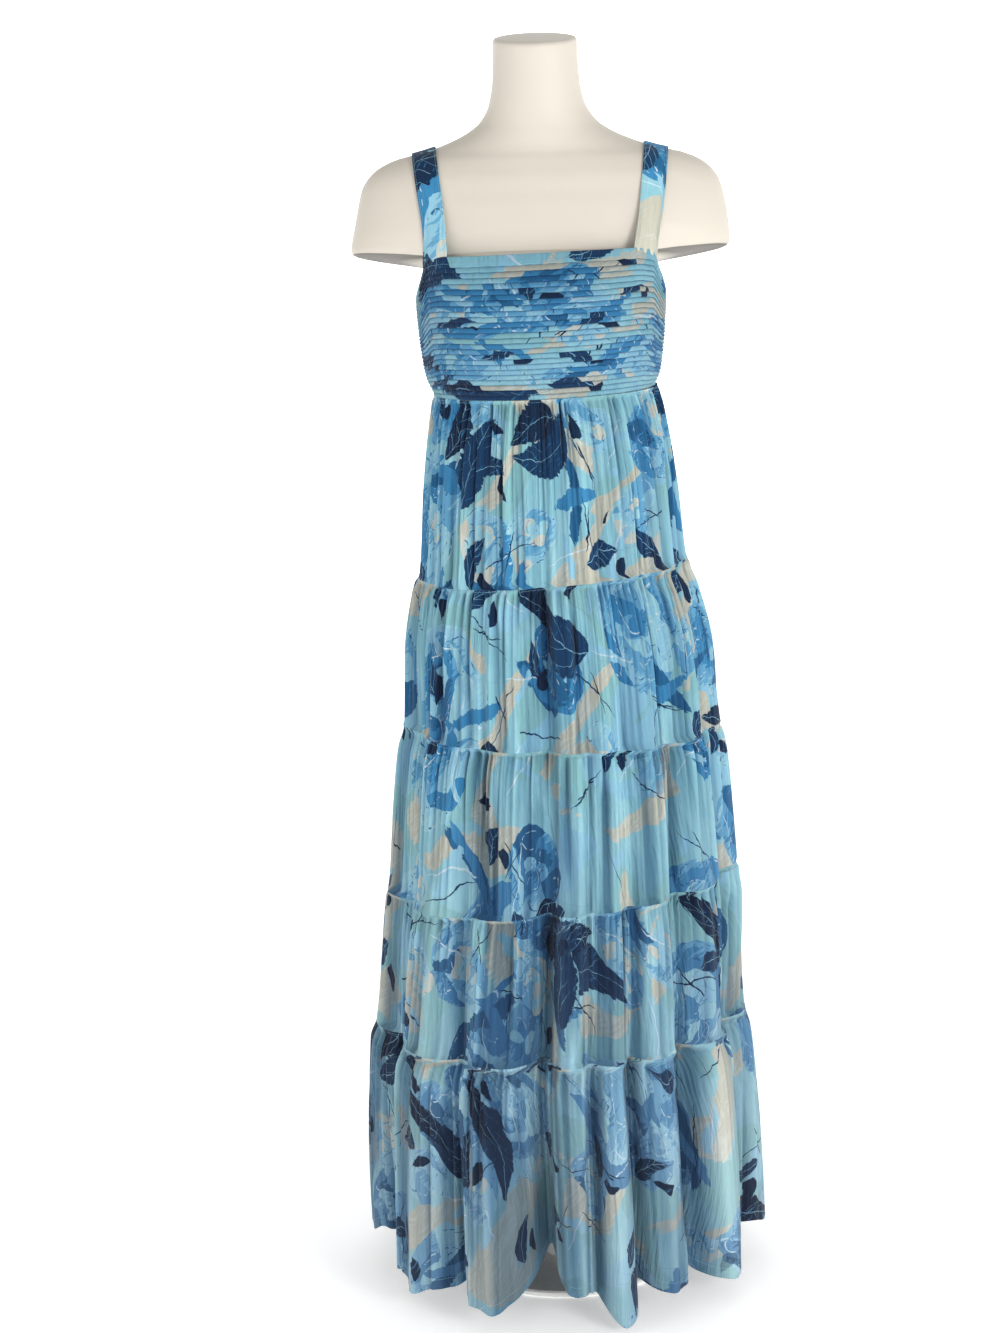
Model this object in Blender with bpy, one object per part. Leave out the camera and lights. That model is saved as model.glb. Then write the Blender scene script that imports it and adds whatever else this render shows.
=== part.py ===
"""A tiered maxi dress worn by a limbless dress form on a plain stand.

Blender 4.5 script, in metres, +Z up. The front of the dress faces -Y and the wearer's left is +X.
The origin is on the floor, at the middle of the stand's base.

The dress has a tucked square-neck bodice of a front and a back, two wide shoulder straps, and
five gathered skirt tiers, each cut as a front and a back and joined at the sides.
"""

import math

import bmesh
import bpy

# Heights of the seams above the floor, at the middle of the dress.
TOP_EDGE = 1.243
BACK_EDGE = 1.190
WAIST_SEAM = 1.078
TIER_1_SEAM = 0.868
TIER_2_SEAM = 0.680
TIER_3_SEAM = 0.493
TIER_4_SEAM = 0.318
HEM = 0.038

# Cloth and seams.
CLOTH = 0.0014
BODICE_CLOTH = 0.0024
STRAP_CLOTH = 0.0018
SEAM_GAP = 0.0003

# Tucks across the bodice: each is a fold that hangs over the one below it.
TUCKS = 27
TUCK_DEPTH = 0.0013
TUCK_CREST = 0.24
EDGE_SINK = TUCK_DEPTH / 2
# Rows of the bodice's plain inside, by their share of the way up; it curves most near the top.
INSIDE_SHARES = (0, 0.12, 0.24, 0.36, 0.48, 0.60, 0.70, 0.76, 0.82, 0.88, 0.94, 1)
# Columns of the bodice's grid, by their angle from the side seam, up to the middle.
BODICE_ANGLES = (0, 12, 22, 31, 36, 42, 60)

# Straps.
STRAP_WIDTH = 0.034
# How narrow a strap is pinched where it joins the front, as a share of its width.
STRAP_FRONT_END = 0.78
STRAP_RAILS = 5
STRAP_STATIONS = 19
STRAP_BEND_WEIGHT = 0.06
STRAP_SHOULDER_X = 0.1335
STRAP_FRONT_X = 0.1180
STRAP_BACK_X = 0.088
STRAP_CLEARANCE = 0.0012
STRAP_END_LIFT = 0.00045
# Directions of a strap's two ends, in degrees about the eye that its path is measured from.
STRAP_LIFTS = (-11, 221)
EDGE_STEP = 0.0005
HALVINGS = 40
SHOULDER_EYE_Y = 0.012
SHOULDER_EYE_Z = 1.262

# Gathers: half of a tier has this many steps round it, four to a gather.
STEPS = 52
STEPS_A_GATHER = 4
GATHER_ROWS = (
    # share of the tier's height, depth of a gather
    (0.00, 0.0018),
    (0.12, 0.0052),
    (0.45, 0.0048),
    (1.00, 0.0024),
)

# Stand.
BASE_RADIUS = 0.130
BASE_THICK = 0.008
BASE_CHAMFER = 0.002
BASE_SIDES = 48
POLE_RADIUS = 0.014
POLE_SIDES = 24
SOCKET_RADIUS = 0.026
SOCKET_HEIGHT = 0.030

FORM_SIDES = 36
# Above 0, more of the form's columns stand at its sides than at its front and back.
FORM_CROWDING = 0.30

# The form, from the bottom of its hips to its neck. Squareness is a superellipse's exponent,
# and tip is how far a section leans down towards the front for each metre of depth.
FORM_SECTIONS = (
    # height, half_width, front, back, squareness, tip
    (0.640, 0.128, 0.082, 0.098, 2.2, 0.00),
    (0.652, 0.140, 0.090, 0.108, 2.2, 0.00),
    (0.690, 0.152, 0.096, 0.116, 2.2, 0.00),
    (0.740, 0.156, 0.099, 0.118, 2.2, 0.00),
    (0.800, 0.149, 0.095, 0.114, 2.2, 0.00),
    (0.868, 0.134, 0.087, 0.102, 2.2, 0.00),
    (0.920, 0.119, 0.081, 0.089, 2.2, 0.00),
    (0.965, 0.111, 0.079, 0.081, 2.2, 0.00),
    (1.020, 0.115, 0.085, 0.080, 2.2, 0.00),
    (1.078, 0.122, 0.099, 0.086, 2.2, 0.00),
    (1.110, 0.1325, 0.116, 0.091, 2.2, 0.00),
    (1.150, 0.1370, 0.129, 0.096, 2.3, 0.00),
    (1.185, 0.1380, 0.127, 0.098, 2.4, 0.00),
    (1.205, 0.1355, 0.113, 0.098, 2.5, -0.09),
    (1.224, 0.1310, 0.098, 0.097, 2.5, -0.18),
)
SHOULDER_SECTIONS = (
    # height, half_width, front, back, squareness, tip
    (1.228, 0.2150, 0.092, 0.095, 1.95, -0.18),
    (1.243, 0.2185, 0.088, 0.095, 2.10, -0.16),
    (1.265, 0.2160, 0.084, 0.094, 2.20, -0.10),
    (1.290, 0.2115, 0.078, 0.091, 2.20, -0.04),
    (1.311, 0.2040, 0.071, 0.087, 2.15, 0.00),
    (1.324, 0.1950, 0.066, 0.082, 2.10, 0.00),
    (1.334, 0.1830, 0.061, 0.078, 2.05, 0.00),
    (1.344, 0.1610, 0.056, 0.074, 2.00, 0.00),
    (1.353, 0.1340, 0.052, 0.070, 2.00, 0.00),
    (1.362, 0.1070, 0.049, 0.066, 2.00, 0.00),
    (1.373, 0.0830, 0.047, 0.062, 2.00, 0.02),
    (1.386, 0.0660, 0.045, 0.059, 2.00, 0.04),
    (1.405, 0.0550, 0.044, 0.056, 2.00, 0.07),
    (1.430, 0.0500, 0.044, 0.053, 2.00, 0.10),
    (1.458, 0.0485, 0.046, 0.052, 2.00, 0.12),
    (1.469, 0.0483, 0.047, 0.052, 2.00, 0.12),
    (1.472, 0.0465, 0.045, 0.050, 2.00, 0.12),
)
# The caps of the shoulders are cut off level with the underarms, rising outwards.
CAP_RISE = 0.009

# The outside of the bodice.
BODICE_SECTIONS = (
    # height, half_width, front, back, squareness
    (1.070, 0.1265, 0.106, 0.0930, 2.1),
    (1.078, 0.1290, 0.108, 0.0940, 2.1),
    (1.096, 0.1355, 0.116, 0.0965, 2.1),
    (1.114, 0.1400, 0.125, 0.0990, 2.2),
    (1.150, 0.1435, 0.137, 0.1020, 2.3),
    (1.185, 0.1450, 0.139, 0.1040, 2.4),
    (1.205, 0.1430, 0.131, 0.1045, 2.7),
    (1.225, 0.1390, 0.120, 0.1045, 3.5),
    (1.247, 0.1355, 0.107, 0.1040, 4.6),
)

# The front armhole, from the side seam up to the square corner of the neck.
ARMHOLE = (
    # degrees from the side seam, height
    (0, 1.190),
    (12, 1.198),
    (22, 1.214),
    (31, 1.2375),
    (36, 1.2405),
    (42, 1.243),
    (90, 1.243),
)

# The outside of the skirt: its envelope, how far the dress leans towards +X, and how deep its
# large folds cut in from the envelope.
SKIRT_SECTIONS = (
    # height, half_width, front, back, squareness, lean, fold_depth
    (1.085, 0.1290, 0.108, 0.094, 2.10, 0.003, 0.000),
    (1.052, 0.1375, 0.117, 0.105, 2.10, 0.004, 0.001),
    (0.970, 0.1490, 0.132, 0.124, 2.10, 0.006, 0.003),
    (0.868, 0.1580, 0.143, 0.140, 2.10, 0.008, 0.006),
    (0.842, 0.1670, 0.152, 0.148, 2.10, 0.008, 0.008),
    (0.774, 0.1810, 0.164, 0.160, 2.10, 0.010, 0.011),
    (0.680, 0.1880, 0.172, 0.168, 2.10, 0.011, 0.015),
    (0.655, 0.1950, 0.179, 0.175, 2.10, 0.010, 0.017),
    (0.586, 0.2020, 0.187, 0.182, 2.10, 0.008, 0.020),
    (0.493, 0.2095, 0.196, 0.191, 2.10, 0.006, 0.025),
    (0.468, 0.2140, 0.201, 0.196, 2.10, 0.005, 0.028),
    (0.405, 0.2185, 0.208, 0.202, 2.10, 0.003, 0.033),
    (0.318, 0.2240, 0.216, 0.209, 2.10, 0.001, 0.042),
    (0.288, 0.2330, 0.225, 0.217, 2.10, 0.000, 0.047),
    (0.180, 0.2410, 0.238, 0.227, 2.05, 0.000, 0.064),
    (0.000, 0.2470, 0.252, 0.238, 2.05, 0.000, 0.086),
)

# The large folds, from the wearer's right side round the front, and then round the back. A fold
# lies between one crest and the next: its valley's share of fold_depth, how far the hem hangs
# down at the first crest, and how far the hem rises in the valley.
FRONT_FOLDS = (
    # crest (degrees from the side seam), valley, hang, rise
    (0, 0.80, 0.000, 0.012),
    (43, 0.40, 0.011, 0.002),
    (67, 1.20, 0.011, 0.030),
    (93, 0.40, -0.008, 0.002),
    (106, 0.60, 0.020, 0.008),
    (121, 0.90, 0.000, 0.008),
    (144, 0.90, 0.010, 0.012),
)
BACK_FOLDS = (
    (0, 0.80, 0.000, 0.006),
    (24, 0.90, 0.006, 0.008),
    (46, 1.05, 0.004, 0.010),
    (69, 0.80, 0.010, 0.006),
    (90, 0.95, 0.006, 0.010),
    (114, 1.05, 0.010, 0.008),
    (136, 0.85, 0.004, 0.006),
    (158, 0.90, 0.008, 0.008),
)

# Above 2, a fold has a broad crest and a narrow valley.
FOLD_POWER = 2.6

# How far each seam climbs towards the wearer's left side.
SEAM_TILTS = {
    TOP_EDGE: 0.0030,
    WAIST_SEAM: 0.0025,
    TIER_1_SEAM: 0.0080,
    TIER_2_SEAM: -0.0040,
    TIER_3_SEAM: 0.0120,
    TIER_4_SEAM: 0.0020,
    HEM: 0.0,
}

TIERS = (
    # top seam, bottom seam, rows of faces down the tier
    (WAIST_SEAM, TIER_1_SEAM, 4),
    (TIER_1_SEAM, TIER_2_SEAM, 3),
    (TIER_2_SEAM, TIER_3_SEAM, 3),
    (TIER_3_SEAM, TIER_4_SEAM, 3),
    (TIER_4_SEAM, HEM, 5),
)

MATERIALS = {
    # name: colour, roughness, metallic
    "printed_chiffon": ((0.36, 0.60, 0.70, 1.0), 0.75, 0.0),
    "form_plastic": ((0.84, 0.80, 0.72, 1.0), 0.35, 0.0),
    "stand_metal": ((0.55, 0.55, 0.56, 1.0), 0.35, 1.0),
}


def clear_scene():
    for found in list(bpy.data.objects):
        bpy.data.objects.remove(found)


def between(table, value, column):
    """A column of a table at this height, on a smooth curve through its rows."""
    rows = sorted(table)
    value = min(max(value, rows[0][0]), rows[-1][0])
    last = len(rows) - 2
    i = max(k for k in range(last + 1) if rows[k][0] <= value)
    low, high = rows[i], rows[i + 1]
    span = high[0] - low[0]

    def slope(k):
        if k in (0, len(rows) - 1):
            near = (0, 1) if k == 0 else (-2, -1)
            a, b = rows[near[0]], rows[near[1]]
            return (b[column] - a[column]) / (b[0] - a[0])
        a, m, b = rows[k - 1], rows[k], rows[k + 1]
        left = (m[column] - a[column]) / (m[0] - a[0])
        right = (b[column] - m[column]) / (b[0] - m[0])
        return 0.0 if left * right <= 0 else 2 * left * right / (left + right)

    t = (value - low[0]) / span
    rise = (2 * t**3 - 3 * t**2 + 1) * low[column] + (3 * t**2 - 2 * t**3) * high[column]
    return rise + (t**3 - 2 * t**2 + t) * span * slope(i) + (t**3 - t**2) * span * slope(i + 1)


def straight_between(table, value):
    """The second column of a table at this value of its first, on straight lines through its rows."""
    for low, high in zip(table, table[1:]):
        if value <= high[0]:
            return low[1] + (high[1] - low[1]) * (value - low[0]) / (high[0] - low[0])
    return table[-1][1]


def section_radius(table, height, angle):
    """How far the outline of a section reaches at this angle: a superellipse with its own front and back."""
    across, along = math.cos(angle), math.sin(angle)
    half_width = between(table, height, 1)
    depth = between(table, height, 2 if along < 0 else 3)
    power = between(table, height, 4)
    return ((abs(across) / half_width) ** power + (abs(along) / depth) ** power) ** (-1 / power)


def seam_height(seam, angle):
    """A seam climbs a little towards one side."""
    return seam + SEAM_TILTS[seam] * math.cos(angle)


def link_mesh(name, points, faces, material, smooth_angle=None):
    mesh = bpy.data.meshes.new(name)
    mesh.from_pydata(points, [], faces)
    work = bmesh.new()
    work.from_mesh(mesh)
    bmesh.ops.recalc_face_normals(work, faces=work.faces)
    work.to_mesh(mesh)
    work.free()
    if smooth_angle is not None:
        mesh.shade_smooth()
        mesh.set_sharp_from_angle(angle=math.radians(smooth_angle))
    mesh.materials.append(material)
    made = bpy.data.objects.new(name, mesh)
    bpy.context.scene.collection.objects.link(made)
    return made


def grid_faces(first, rows, columns):
    """The triangles of a grid of points, numbered from first, all split along the same diagonal."""
    faces = []
    for r in range(rows - 1):
        for c in range(columns - 1):
            a = first + r * columns + c
            faces.append((a, a + 1, a + columns + 1))
            faces.append((a, a + columns + 1, a + columns))
    return faces


def sheet_wall(name, outer, inner, material):
    """A wall between an outer and an inner grid of points, with as many columns but any number of rows."""
    columns = len(outer[0])
    points = [p for row in outer for p in row] + [p for row in inner for p in row]
    start = len(outer) * columns
    faces = grid_faces(0, len(outer), columns)
    faces += [tuple(reversed(f)) for f in grid_faces(start, len(inner), columns)]
    last_outer, last_inner = start - columns, start + (len(inner) - 1) * columns
    for c in range(columns - 1):
        faces.append((c, start + c, start + c + 1, c + 1))
        faces.append((last_outer + c, last_outer + c + 1, last_inner + c + 1, last_inner + c))
    for c in (0, columns - 1):
        out_edge = [r * columns + c for r in range(len(outer))]
        in_edge = [start + r * columns + c for r in range(len(inner))]
        if len(outer) == len(inner):
            faces += list(zip(out_edge, out_edge[1:], in_edge[1:], in_edge))
        else:
            faces.append(tuple(out_edge + in_edge[::-1]))
    return link_mesh(name, points, faces, material, smooth_angle=50)


def ring_loft(name, rings, material):
    """A closed solid through rings of points, capped at both ends."""
    sides = len(rings[0])
    points = [p for ring in rings for p in ring]
    faces = []
    for r in range(len(rings) - 1):
        for c in range(sides):
            a, b = r * sides + c, r * sides + (c + 1) % sides
            faces.append((a, b, b + sides, a + sides))
    faces.append(tuple(reversed(range(sides))))
    faces.append(tuple(range((len(rings) - 1) * sides, len(rings) * sides)))
    return link_mesh(name, points, faces, material, smooth_angle=40)


def top_edge(angle, front):
    """The bodice's top edge: level across the front, down to the underarm, and level across the back."""
    tilt = SEAM_TILTS[TOP_EDGE] * math.cos(angle)
    if not front:
        return BACK_EDGE + tilt
    from_side = math.degrees(math.asin(min(1.0, abs(math.sin(angle)))))
    return straight_between(ARMHOLE, from_side) + tilt


def bodice_point(angle, share, front, sink):
    """A point of the bodice at a share of the way up from the waist seam, sunk inwards."""
    low = seam_height(WAIST_SEAM, angle) + SEAM_GAP / 2
    height = low + (top_edge(angle, front) - low) * share
    radius = section_radius(BODICE_SECTIONS, height, angle) - sink
    return radius * math.cos(angle), radius * math.sin(angle), height


def side_gap(point, front):
    """Points on a side seam move off it, so that the front and the back stay a gap apart."""
    x, y, z = point
    shift = -SEAM_GAP / 2 if front else SEAM_GAP / 2
    return x, y + shift, z


def bodice_angles(front):
    """Angles round half of the body. The front runs from the wearer's right to the left."""
    turns = [*BODICE_ANGLES, 90, *(180 - a for a in reversed(BODICE_ANGLES))]
    return [math.pi + math.radians(t if front else -t) for t in turns]


def make_bodice(front, material):
    """Half of the bodice: the outside steps in and out at every tuck, over a plain inside."""
    angles = bodice_angles(front)
    shares = [(0.0, EDGE_SINK)]
    for k in range(TUCKS):
        shares.append(((k + TUCK_CREST) / TUCKS, 0.0))
        shares.append(((k + 1) / TUCKS, TUCK_DEPTH if k < TUCKS - 1 else EDGE_SINK))
    outer = [[side_gap(bodice_point(a, s, front, sink), front) for a in angles] for s, sink in shares]
    inner = [
        [side_gap(bodice_point(a, s, front, BODICE_CLOTH), front) for a in angles] for s in INSIDE_SHARES
    ]
    return sheet_wall("bodice_front" if front else "bodice_back", outer, inner, material)


def fold_at(front, step):
    """The angle round the body at a step, and there the share of fold depth, the hem's hang and its rise."""
    folds = FRONT_FOLDS if front else BACK_FOLDS
    crests = [round(STEPS * f[0] / 180) for f in folds] + [STEPS]
    degrees = [f[0] for f in folds] + [180]
    i = max(k for k in range(len(folds)) if crests[k] <= min(step, STEPS - 0.001))
    along = (step - crests[i]) / (crests[i + 1] - crests[i])
    turned = math.radians(degrees[i] + (degrees[i + 1] - degrees[i]) * along)
    angle = math.pi + turned if front else math.pi - turned
    valley = math.sin(math.pi * along) ** FOLD_POWER
    hangs = [f[2] for f in folds] + [0.0]
    hang = hangs[i] + (hangs[i + 1] - hangs[i]) * (1 - math.cos(math.pi * along)) / 2
    return angle, folds[i][1] * valley, hang, folds[i][3] * valley


def tier_radius(tier, front, step, share):
    """The outside of a tier: angle, radius and height at a step round it and a share of the way down."""
    top_seam, bottom_seam, _ = tier
    angle, valley, hang, rise = fold_at(front, step)
    top = seam_height(top_seam, angle) - SEAM_GAP / 2
    bottom = seam_height(bottom_seam, angle) + SEAM_GAP / 2
    if bottom_seam == HEM:
        bottom += rise - hang
    height = top + (bottom - top) * share
    pucker = 0.5 - 0.5 * math.cos(math.tau * step / STEPS_A_GATHER)
    sink = valley * between(SKIRT_SECTIONS, height, 6) + pucker * straight_between(GATHER_ROWS, share)
    return angle, section_radius(SKIRT_SECTIONS, height, angle) - sink, height


def tier_points(tier, front, share, outside):
    """A row of points round half of a tier. Inside points lie a cloth's thickness in, square to the folds."""
    row = []
    for step in range(STEPS + 1):
        angle, radius, height = tier_radius(tier, front, step, share)
        if not outside:
            nearby = [tier_radius(tier, front, min(max(step + d, 0), STEPS), share) for d in (-1, 1)]
            arc = abs(nearby[1][0] - nearby[0][0]) * radius
            steepness = (nearby[1][1] - nearby[0][1]) / arc
            radius -= CLOTH * math.sqrt(1 + steepness**2)
        lean = between(SKIRT_SECTIONS, height, 5)
        point = (lean + radius * math.cos(angle), radius * math.sin(angle), height)
        row.append(side_gap(point, front))
    return row


def make_tier(number, tier, front, material):
    rows = tier[2]
    puffed = GATHER_ROWS[1][0]
    shares = [0.0] + [puffed + (1 - puffed) * i / (rows - 1) for i in range(rows)]
    outer = [tier_points(tier, front, s, True) for s in shares]
    inner = [tier_points(tier, front, s, False) for s in shares]
    return sheet_wall(f"tier_{number}_{'front' if front else 'back'}", outer, inner, material)


def inside_shoulders(x, y, z):
    """Whether a place is inside the form's shoulders, whose sections are tipped."""
    height = z
    for _ in range(6):
        height = z - between(SHOULDER_SECTIONS, height, 5) * y
    reach = section_radius(SHOULDER_SECTIONS, height, math.atan2(y, x))
    return height < SHOULDER_SECTIONS[-1][0] and math.hypot(x, y) < reach


def shoulder_reach(x, lift):
    """How far the form reaches from the shoulder's eye at this x, in a direction lifted from the front."""
    near, far = 0.0, SHOULDER_SECTIONS[0][1]
    for _ in range(HALVINGS):
        middle = (near + far) / 2
        y = SHOULDER_EYE_Y - middle * math.cos(lift)
        z = SHOULDER_EYE_Z + middle * math.sin(lift)
        near, far = (middle, far) if inside_shoulders(x, y, z) else (near, middle)
    return near


def edge_place(side, x, along, front):
    """A place on the inside of the top edge, a distance outwards along it from where it passes x."""

    def place_at(angle):
        px, py, pz = bodice_point(angle if side > 0 else math.pi - angle, 1.0, front, BODICE_CLOTH)
        return side * px, py, pz

    turn = EDGE_STEP if front else -EDGE_STEP
    angle = -math.pi / 2 if front else math.pi / 2
    while place_at(angle)[0] < x:
        angle += turn
    turn = turn if along > 0 else -turn
    gone, place = 0.0, place_at(angle)
    while gone < abs(along):
        angle += turn
        ahead = place_at(angle)
        gone += math.hypot(ahead[0] - place[0], ahead[1] - place[1])
        place = ahead
    return place


def taut(points):
    """Only the points that a strap pulled tight over them would touch, seen from the side."""
    kept = []
    for p in points:
        while len(kept) > 1:
            (_, y0, z0), (_, y1, z1) = kept[-2], kept[-1]
            if (y1 - y0) * (p[2] - z0) - (z1 - z0) * (p[1] - y0) < 0:
                break
            kept.pop()
        kept.append(p)
    return kept


def bend(a, b, c):
    """How far a line turns at b, in radians."""
    into = [q - p for p, q in zip(a, b)]
    out = [q - p for p, q in zip(b, c)]
    cosine = sum(p * q for p, q in zip(into, out)) / (math.hypot(*into) * math.hypot(*out))
    return math.acos(min(1.0, max(-1.0, cosine)))


def lengths_along(points):
    lengths = [0.0]
    for a, b in zip(points, points[1:]):
        lengths.append(lengths[-1] + math.dist(a, b))
    return lengths


def station_shares(points):
    """Shares of a line's length, spaced evenly but closer where it bends."""
    lengths = lengths_along(points)
    bends = [0.0, *(bend(*points[i - 1:i + 2]) for i in range(1, len(points) - 1)), 0.0]
    weights = [0.0]
    for i in range(1, len(points)):
        weighted = STRAP_BEND_WEIGHT * (bends[i - 1] + bends[i]) / 2
        weights.append(weights[-1] + lengths[i] - lengths[i - 1] + weighted)
    table = [(w, d) for w, d in zip(weights, lengths)]
    steps = STRAP_STATIONS - 1
    return [straight_between(table, weights[-1] * i / steps) / lengths[-1] for i in range(steps + 1)]


def points_at(points, shares):
    """The points at these shares of a line's length."""
    lengths = lengths_along(points)
    axes = [[(d, p[k]) for d, p in zip(lengths, points)] for k in range(3)]
    return [tuple(straight_between(axis, lengths[-1] * share) for axis in axes) for share in shares]


def strap_rail(side, offset):
    """A line along the inside of a strap, from the front edge to the back, as if on the left side."""
    front = edge_place(side, STRAP_FRONT_X, offset * STRAP_FRONT_END, True)
    back = edge_place(side, STRAP_BACK_X, offset, False)
    crossings = (
        (STRAP_LIFTS[0], front[0]),
        (90, STRAP_SHOULDER_X + offset),
        (STRAP_LIFTS[1], back[0]),
    )
    over = []
    for degrees in range(-5, 200, 5):
        x = between(crossings, degrees, 1)
        reach = shoulder_reach(x, math.radians(degrees)) + STRAP_CLEARANCE
        y = SHOULDER_EYE_Y - reach * math.cos(math.radians(degrees))
        over.append((x, y, SHOULDER_EYE_Z + reach * math.sin(math.radians(degrees))))
    ends = [(p[0], p[1], p[2] + STRAP_END_LIFT) for p in (front, back)]
    return taut([ends[0], *over, ends[1]])


def make_strap(name, side, material):
    offsets = [STRAP_WIDTH * (i / (STRAP_RAILS - 1) - 0.5) for i in range(STRAP_RAILS)]
    rails = [strap_rail(side, offset) for offset in offsets]
    shares = station_shares(rails[STRAP_RAILS // 2])
    rails = [points_at(rail, shares) for rail in rails]
    inner, outer = [], []
    for s in range(STRAP_STATIONS):
        inner_row, outer_row = [], []
        for r in range(STRAP_RAILS):
            point = rails[r][s]
            ahead, behind = rails[r][min(s + 1, STRAP_STATIONS - 1)], rails[r][max(s - 1, 0)]
            beside, other = rails[min(r + 1, STRAP_RAILS - 1)][s], rails[max(r - 1, 0)][s]
            run = [a - b for a, b in zip(ahead, behind)]
            width = [a - b for a, b in zip(beside, other)]
            normal = (
                run[2] * width[1] - run[1] * width[2],
                run[0] * width[2] - run[2] * width[0],
                run[1] * width[0] - run[0] * width[1],
            )
            if s in (0, STRAP_STATIONS - 1):
                normal = (normal[0], normal[1], 0.0)
            size = math.hypot(*normal)
            lifted = tuple(p + STRAP_CLOTH * n / size for p, n in zip(point, normal))
            inner_row.append((side * point[0], point[1], point[2]))
            outer_row.append((side * lifted[0], lifted[1], lifted[2]))
        inner.append(inner_row)
        outer.append(outer_row)
    return sheet_wall(name, outer, inner, material)


def form_ring(table, height, rise=0.0, inset=0.0):
    """One ring of the form. Rise lifts what lies outside the underarms, for the cut shoulder caps."""
    ring = []
    tip = between(table, height, 5)
    underarm = FORM_SECTIONS[-1][1]
    for i in range(FORM_SIDES):
        turned = math.tau * i / FORM_SIDES
        angle = turned - FORM_CROWDING * math.sin(2 * turned)
        radius = section_radius(table, height, angle) - inset
        x, y = radius * math.cos(angle), radius * math.sin(angle)
        beyond = max(0.0, abs(x) - underarm) / (SHOULDER_SECTIONS[0][1] - underarm)
        ring.append((x, y, height + tip * y + rise * beyond))
    return ring


def make_form(material):
    rings = [form_ring(FORM_SECTIONS, row[0]) for row in FORM_SECTIONS]
    rings.append(form_ring(SHOULDER_SECTIONS, SHOULDER_SECTIONS[0][0], rise=CAP_RISE, inset=0.002))
    for row in SHOULDER_SECTIONS[1:]:
        rings.append(form_ring(SHOULDER_SECTIONS, row[0]))
    return ring_loft("dress_form", rings, material)


def turned_solid(name, profile, sides, material):
    """A closed solid turned from a profile of radius and height, from its foot up."""
    rings = []
    for radius, height in profile:
        turns = [math.tau * i / sides for i in range(sides)]
        rings.append([(radius * math.cos(t), radius * math.sin(t), height) for t in turns])
    return ring_loft(name, rings, material)


def make_stand(material):
    base = (
        (BASE_RADIUS - BASE_CHAMFER, 0.0),
        (BASE_RADIUS, BASE_CHAMFER),
        (BASE_RADIUS, BASE_THICK - BASE_CHAMFER),
        (BASE_RADIUS - BASE_CHAMFER, BASE_THICK),
        (SOCKET_RADIUS, BASE_THICK),
        (SOCKET_RADIUS, SOCKET_HEIGHT - BASE_CHAMFER),
        (SOCKET_RADIUS - BASE_CHAMFER, SOCKET_HEIGHT),
    )
    turned_solid("stand_base", base, BASE_SIDES, material)
    pole = (
        (POLE_RADIUS, SOCKET_HEIGHT + SEAM_GAP),
        (POLE_RADIUS, FORM_SECTIONS[0][0] - SEAM_GAP),
    )
    turned_solid("stand_pole", pole, POLE_SIDES, material)


def make_material(name):
    colour, roughness, metallic = MATERIALS[name]
    made = bpy.data.materials.new(name)
    made.use_nodes = True
    shader = made.node_tree.nodes["Principled BSDF"]
    shader.inputs["Base Color"].default_value = colour
    shader.inputs["Roughness"].default_value = roughness
    shader.inputs["Metallic"].default_value = metallic
    return made


def main():
    clear_scene()
    chiffon = make_material("printed_chiffon")
    for front in (True, False):
        make_bodice(front, chiffon)
        for number, tier in enumerate(TIERS, start=1):
            make_tier(number, tier, front, chiffon)
    make_strap("strap_wearer_left", 1, chiffon)
    make_strap("strap_wearer_right", -1, chiffon)
    make_form(make_material("form_plastic"))
    make_stand(make_material("stand_metal"))


main()
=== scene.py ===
"""The looks of a tiered maxi dress on a limbless dress form with a plain stand.

Everything is in metres, +Z up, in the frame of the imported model. The front of the dress faces -Y and
the wearer's left is +X. Each soft piece is a thin shell on the form of the solids that it stands for.
"""

import math

import bmesh
import bpy
import numpy as np
from mathutils import Matrix, Vector


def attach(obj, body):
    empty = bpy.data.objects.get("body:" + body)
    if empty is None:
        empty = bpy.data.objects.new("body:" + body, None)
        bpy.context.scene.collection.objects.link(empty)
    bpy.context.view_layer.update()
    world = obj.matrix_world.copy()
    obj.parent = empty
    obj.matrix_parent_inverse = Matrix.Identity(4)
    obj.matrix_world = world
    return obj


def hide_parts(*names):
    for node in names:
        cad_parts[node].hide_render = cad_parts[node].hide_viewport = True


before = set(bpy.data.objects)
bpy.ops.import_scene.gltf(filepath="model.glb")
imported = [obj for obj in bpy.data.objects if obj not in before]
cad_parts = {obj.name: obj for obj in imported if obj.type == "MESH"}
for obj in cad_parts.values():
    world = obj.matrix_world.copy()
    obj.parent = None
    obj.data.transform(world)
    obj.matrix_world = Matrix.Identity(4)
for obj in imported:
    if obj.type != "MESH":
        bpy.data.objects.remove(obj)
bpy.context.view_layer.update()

# Picture, in pixels, and the camera that took it.
PICTURE_HEIGHT = 1333
PICTURE_WIDTH = 1000
AXIS_PIXEL = 551.3
FOCAL_PIXELS = 2966.0
SENSOR = 36.0
CAMERA_AWAY = 3.45
CAMERA_HEIGHT = 1.48
CAMERA_PITCH = 12.0
CAMERA_ROLL = -1.6

# Heights of the seams above the floor, at the middle of the dress.
TOP_EDGE = 1.243
BACK_EDGE = 1.190
WAIST_SEAM = 1.078
TIER_1_SEAM = 0.868
TIER_2_SEAM = 0.680
TIER_3_SEAM = 0.493
TIER_4_SEAM = 0.318
HEM = 0.038

# How far each seam climbs towards the wearer's left side.
SEAM_TILTS = {
    TOP_EDGE: 0.0030,
    WAIST_SEAM: 0.0025,
    TIER_1_SEAM: 0.0080,
    TIER_2_SEAM: -0.0040,
    TIER_3_SEAM: 0.0120,
    TIER_4_SEAM: 0.0020,
    HEM: 0.0,
}

TUCKS = 27
# The tucks stop below a plain band at the top edge.
BODICE_TUCKS = 25
TUCK_DEPTH = 0.0019
TUCK_PITCH = 0.0061
TUCK_HIDDEN = 0.0135
TUCK_WAVER = 0.00016
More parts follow.
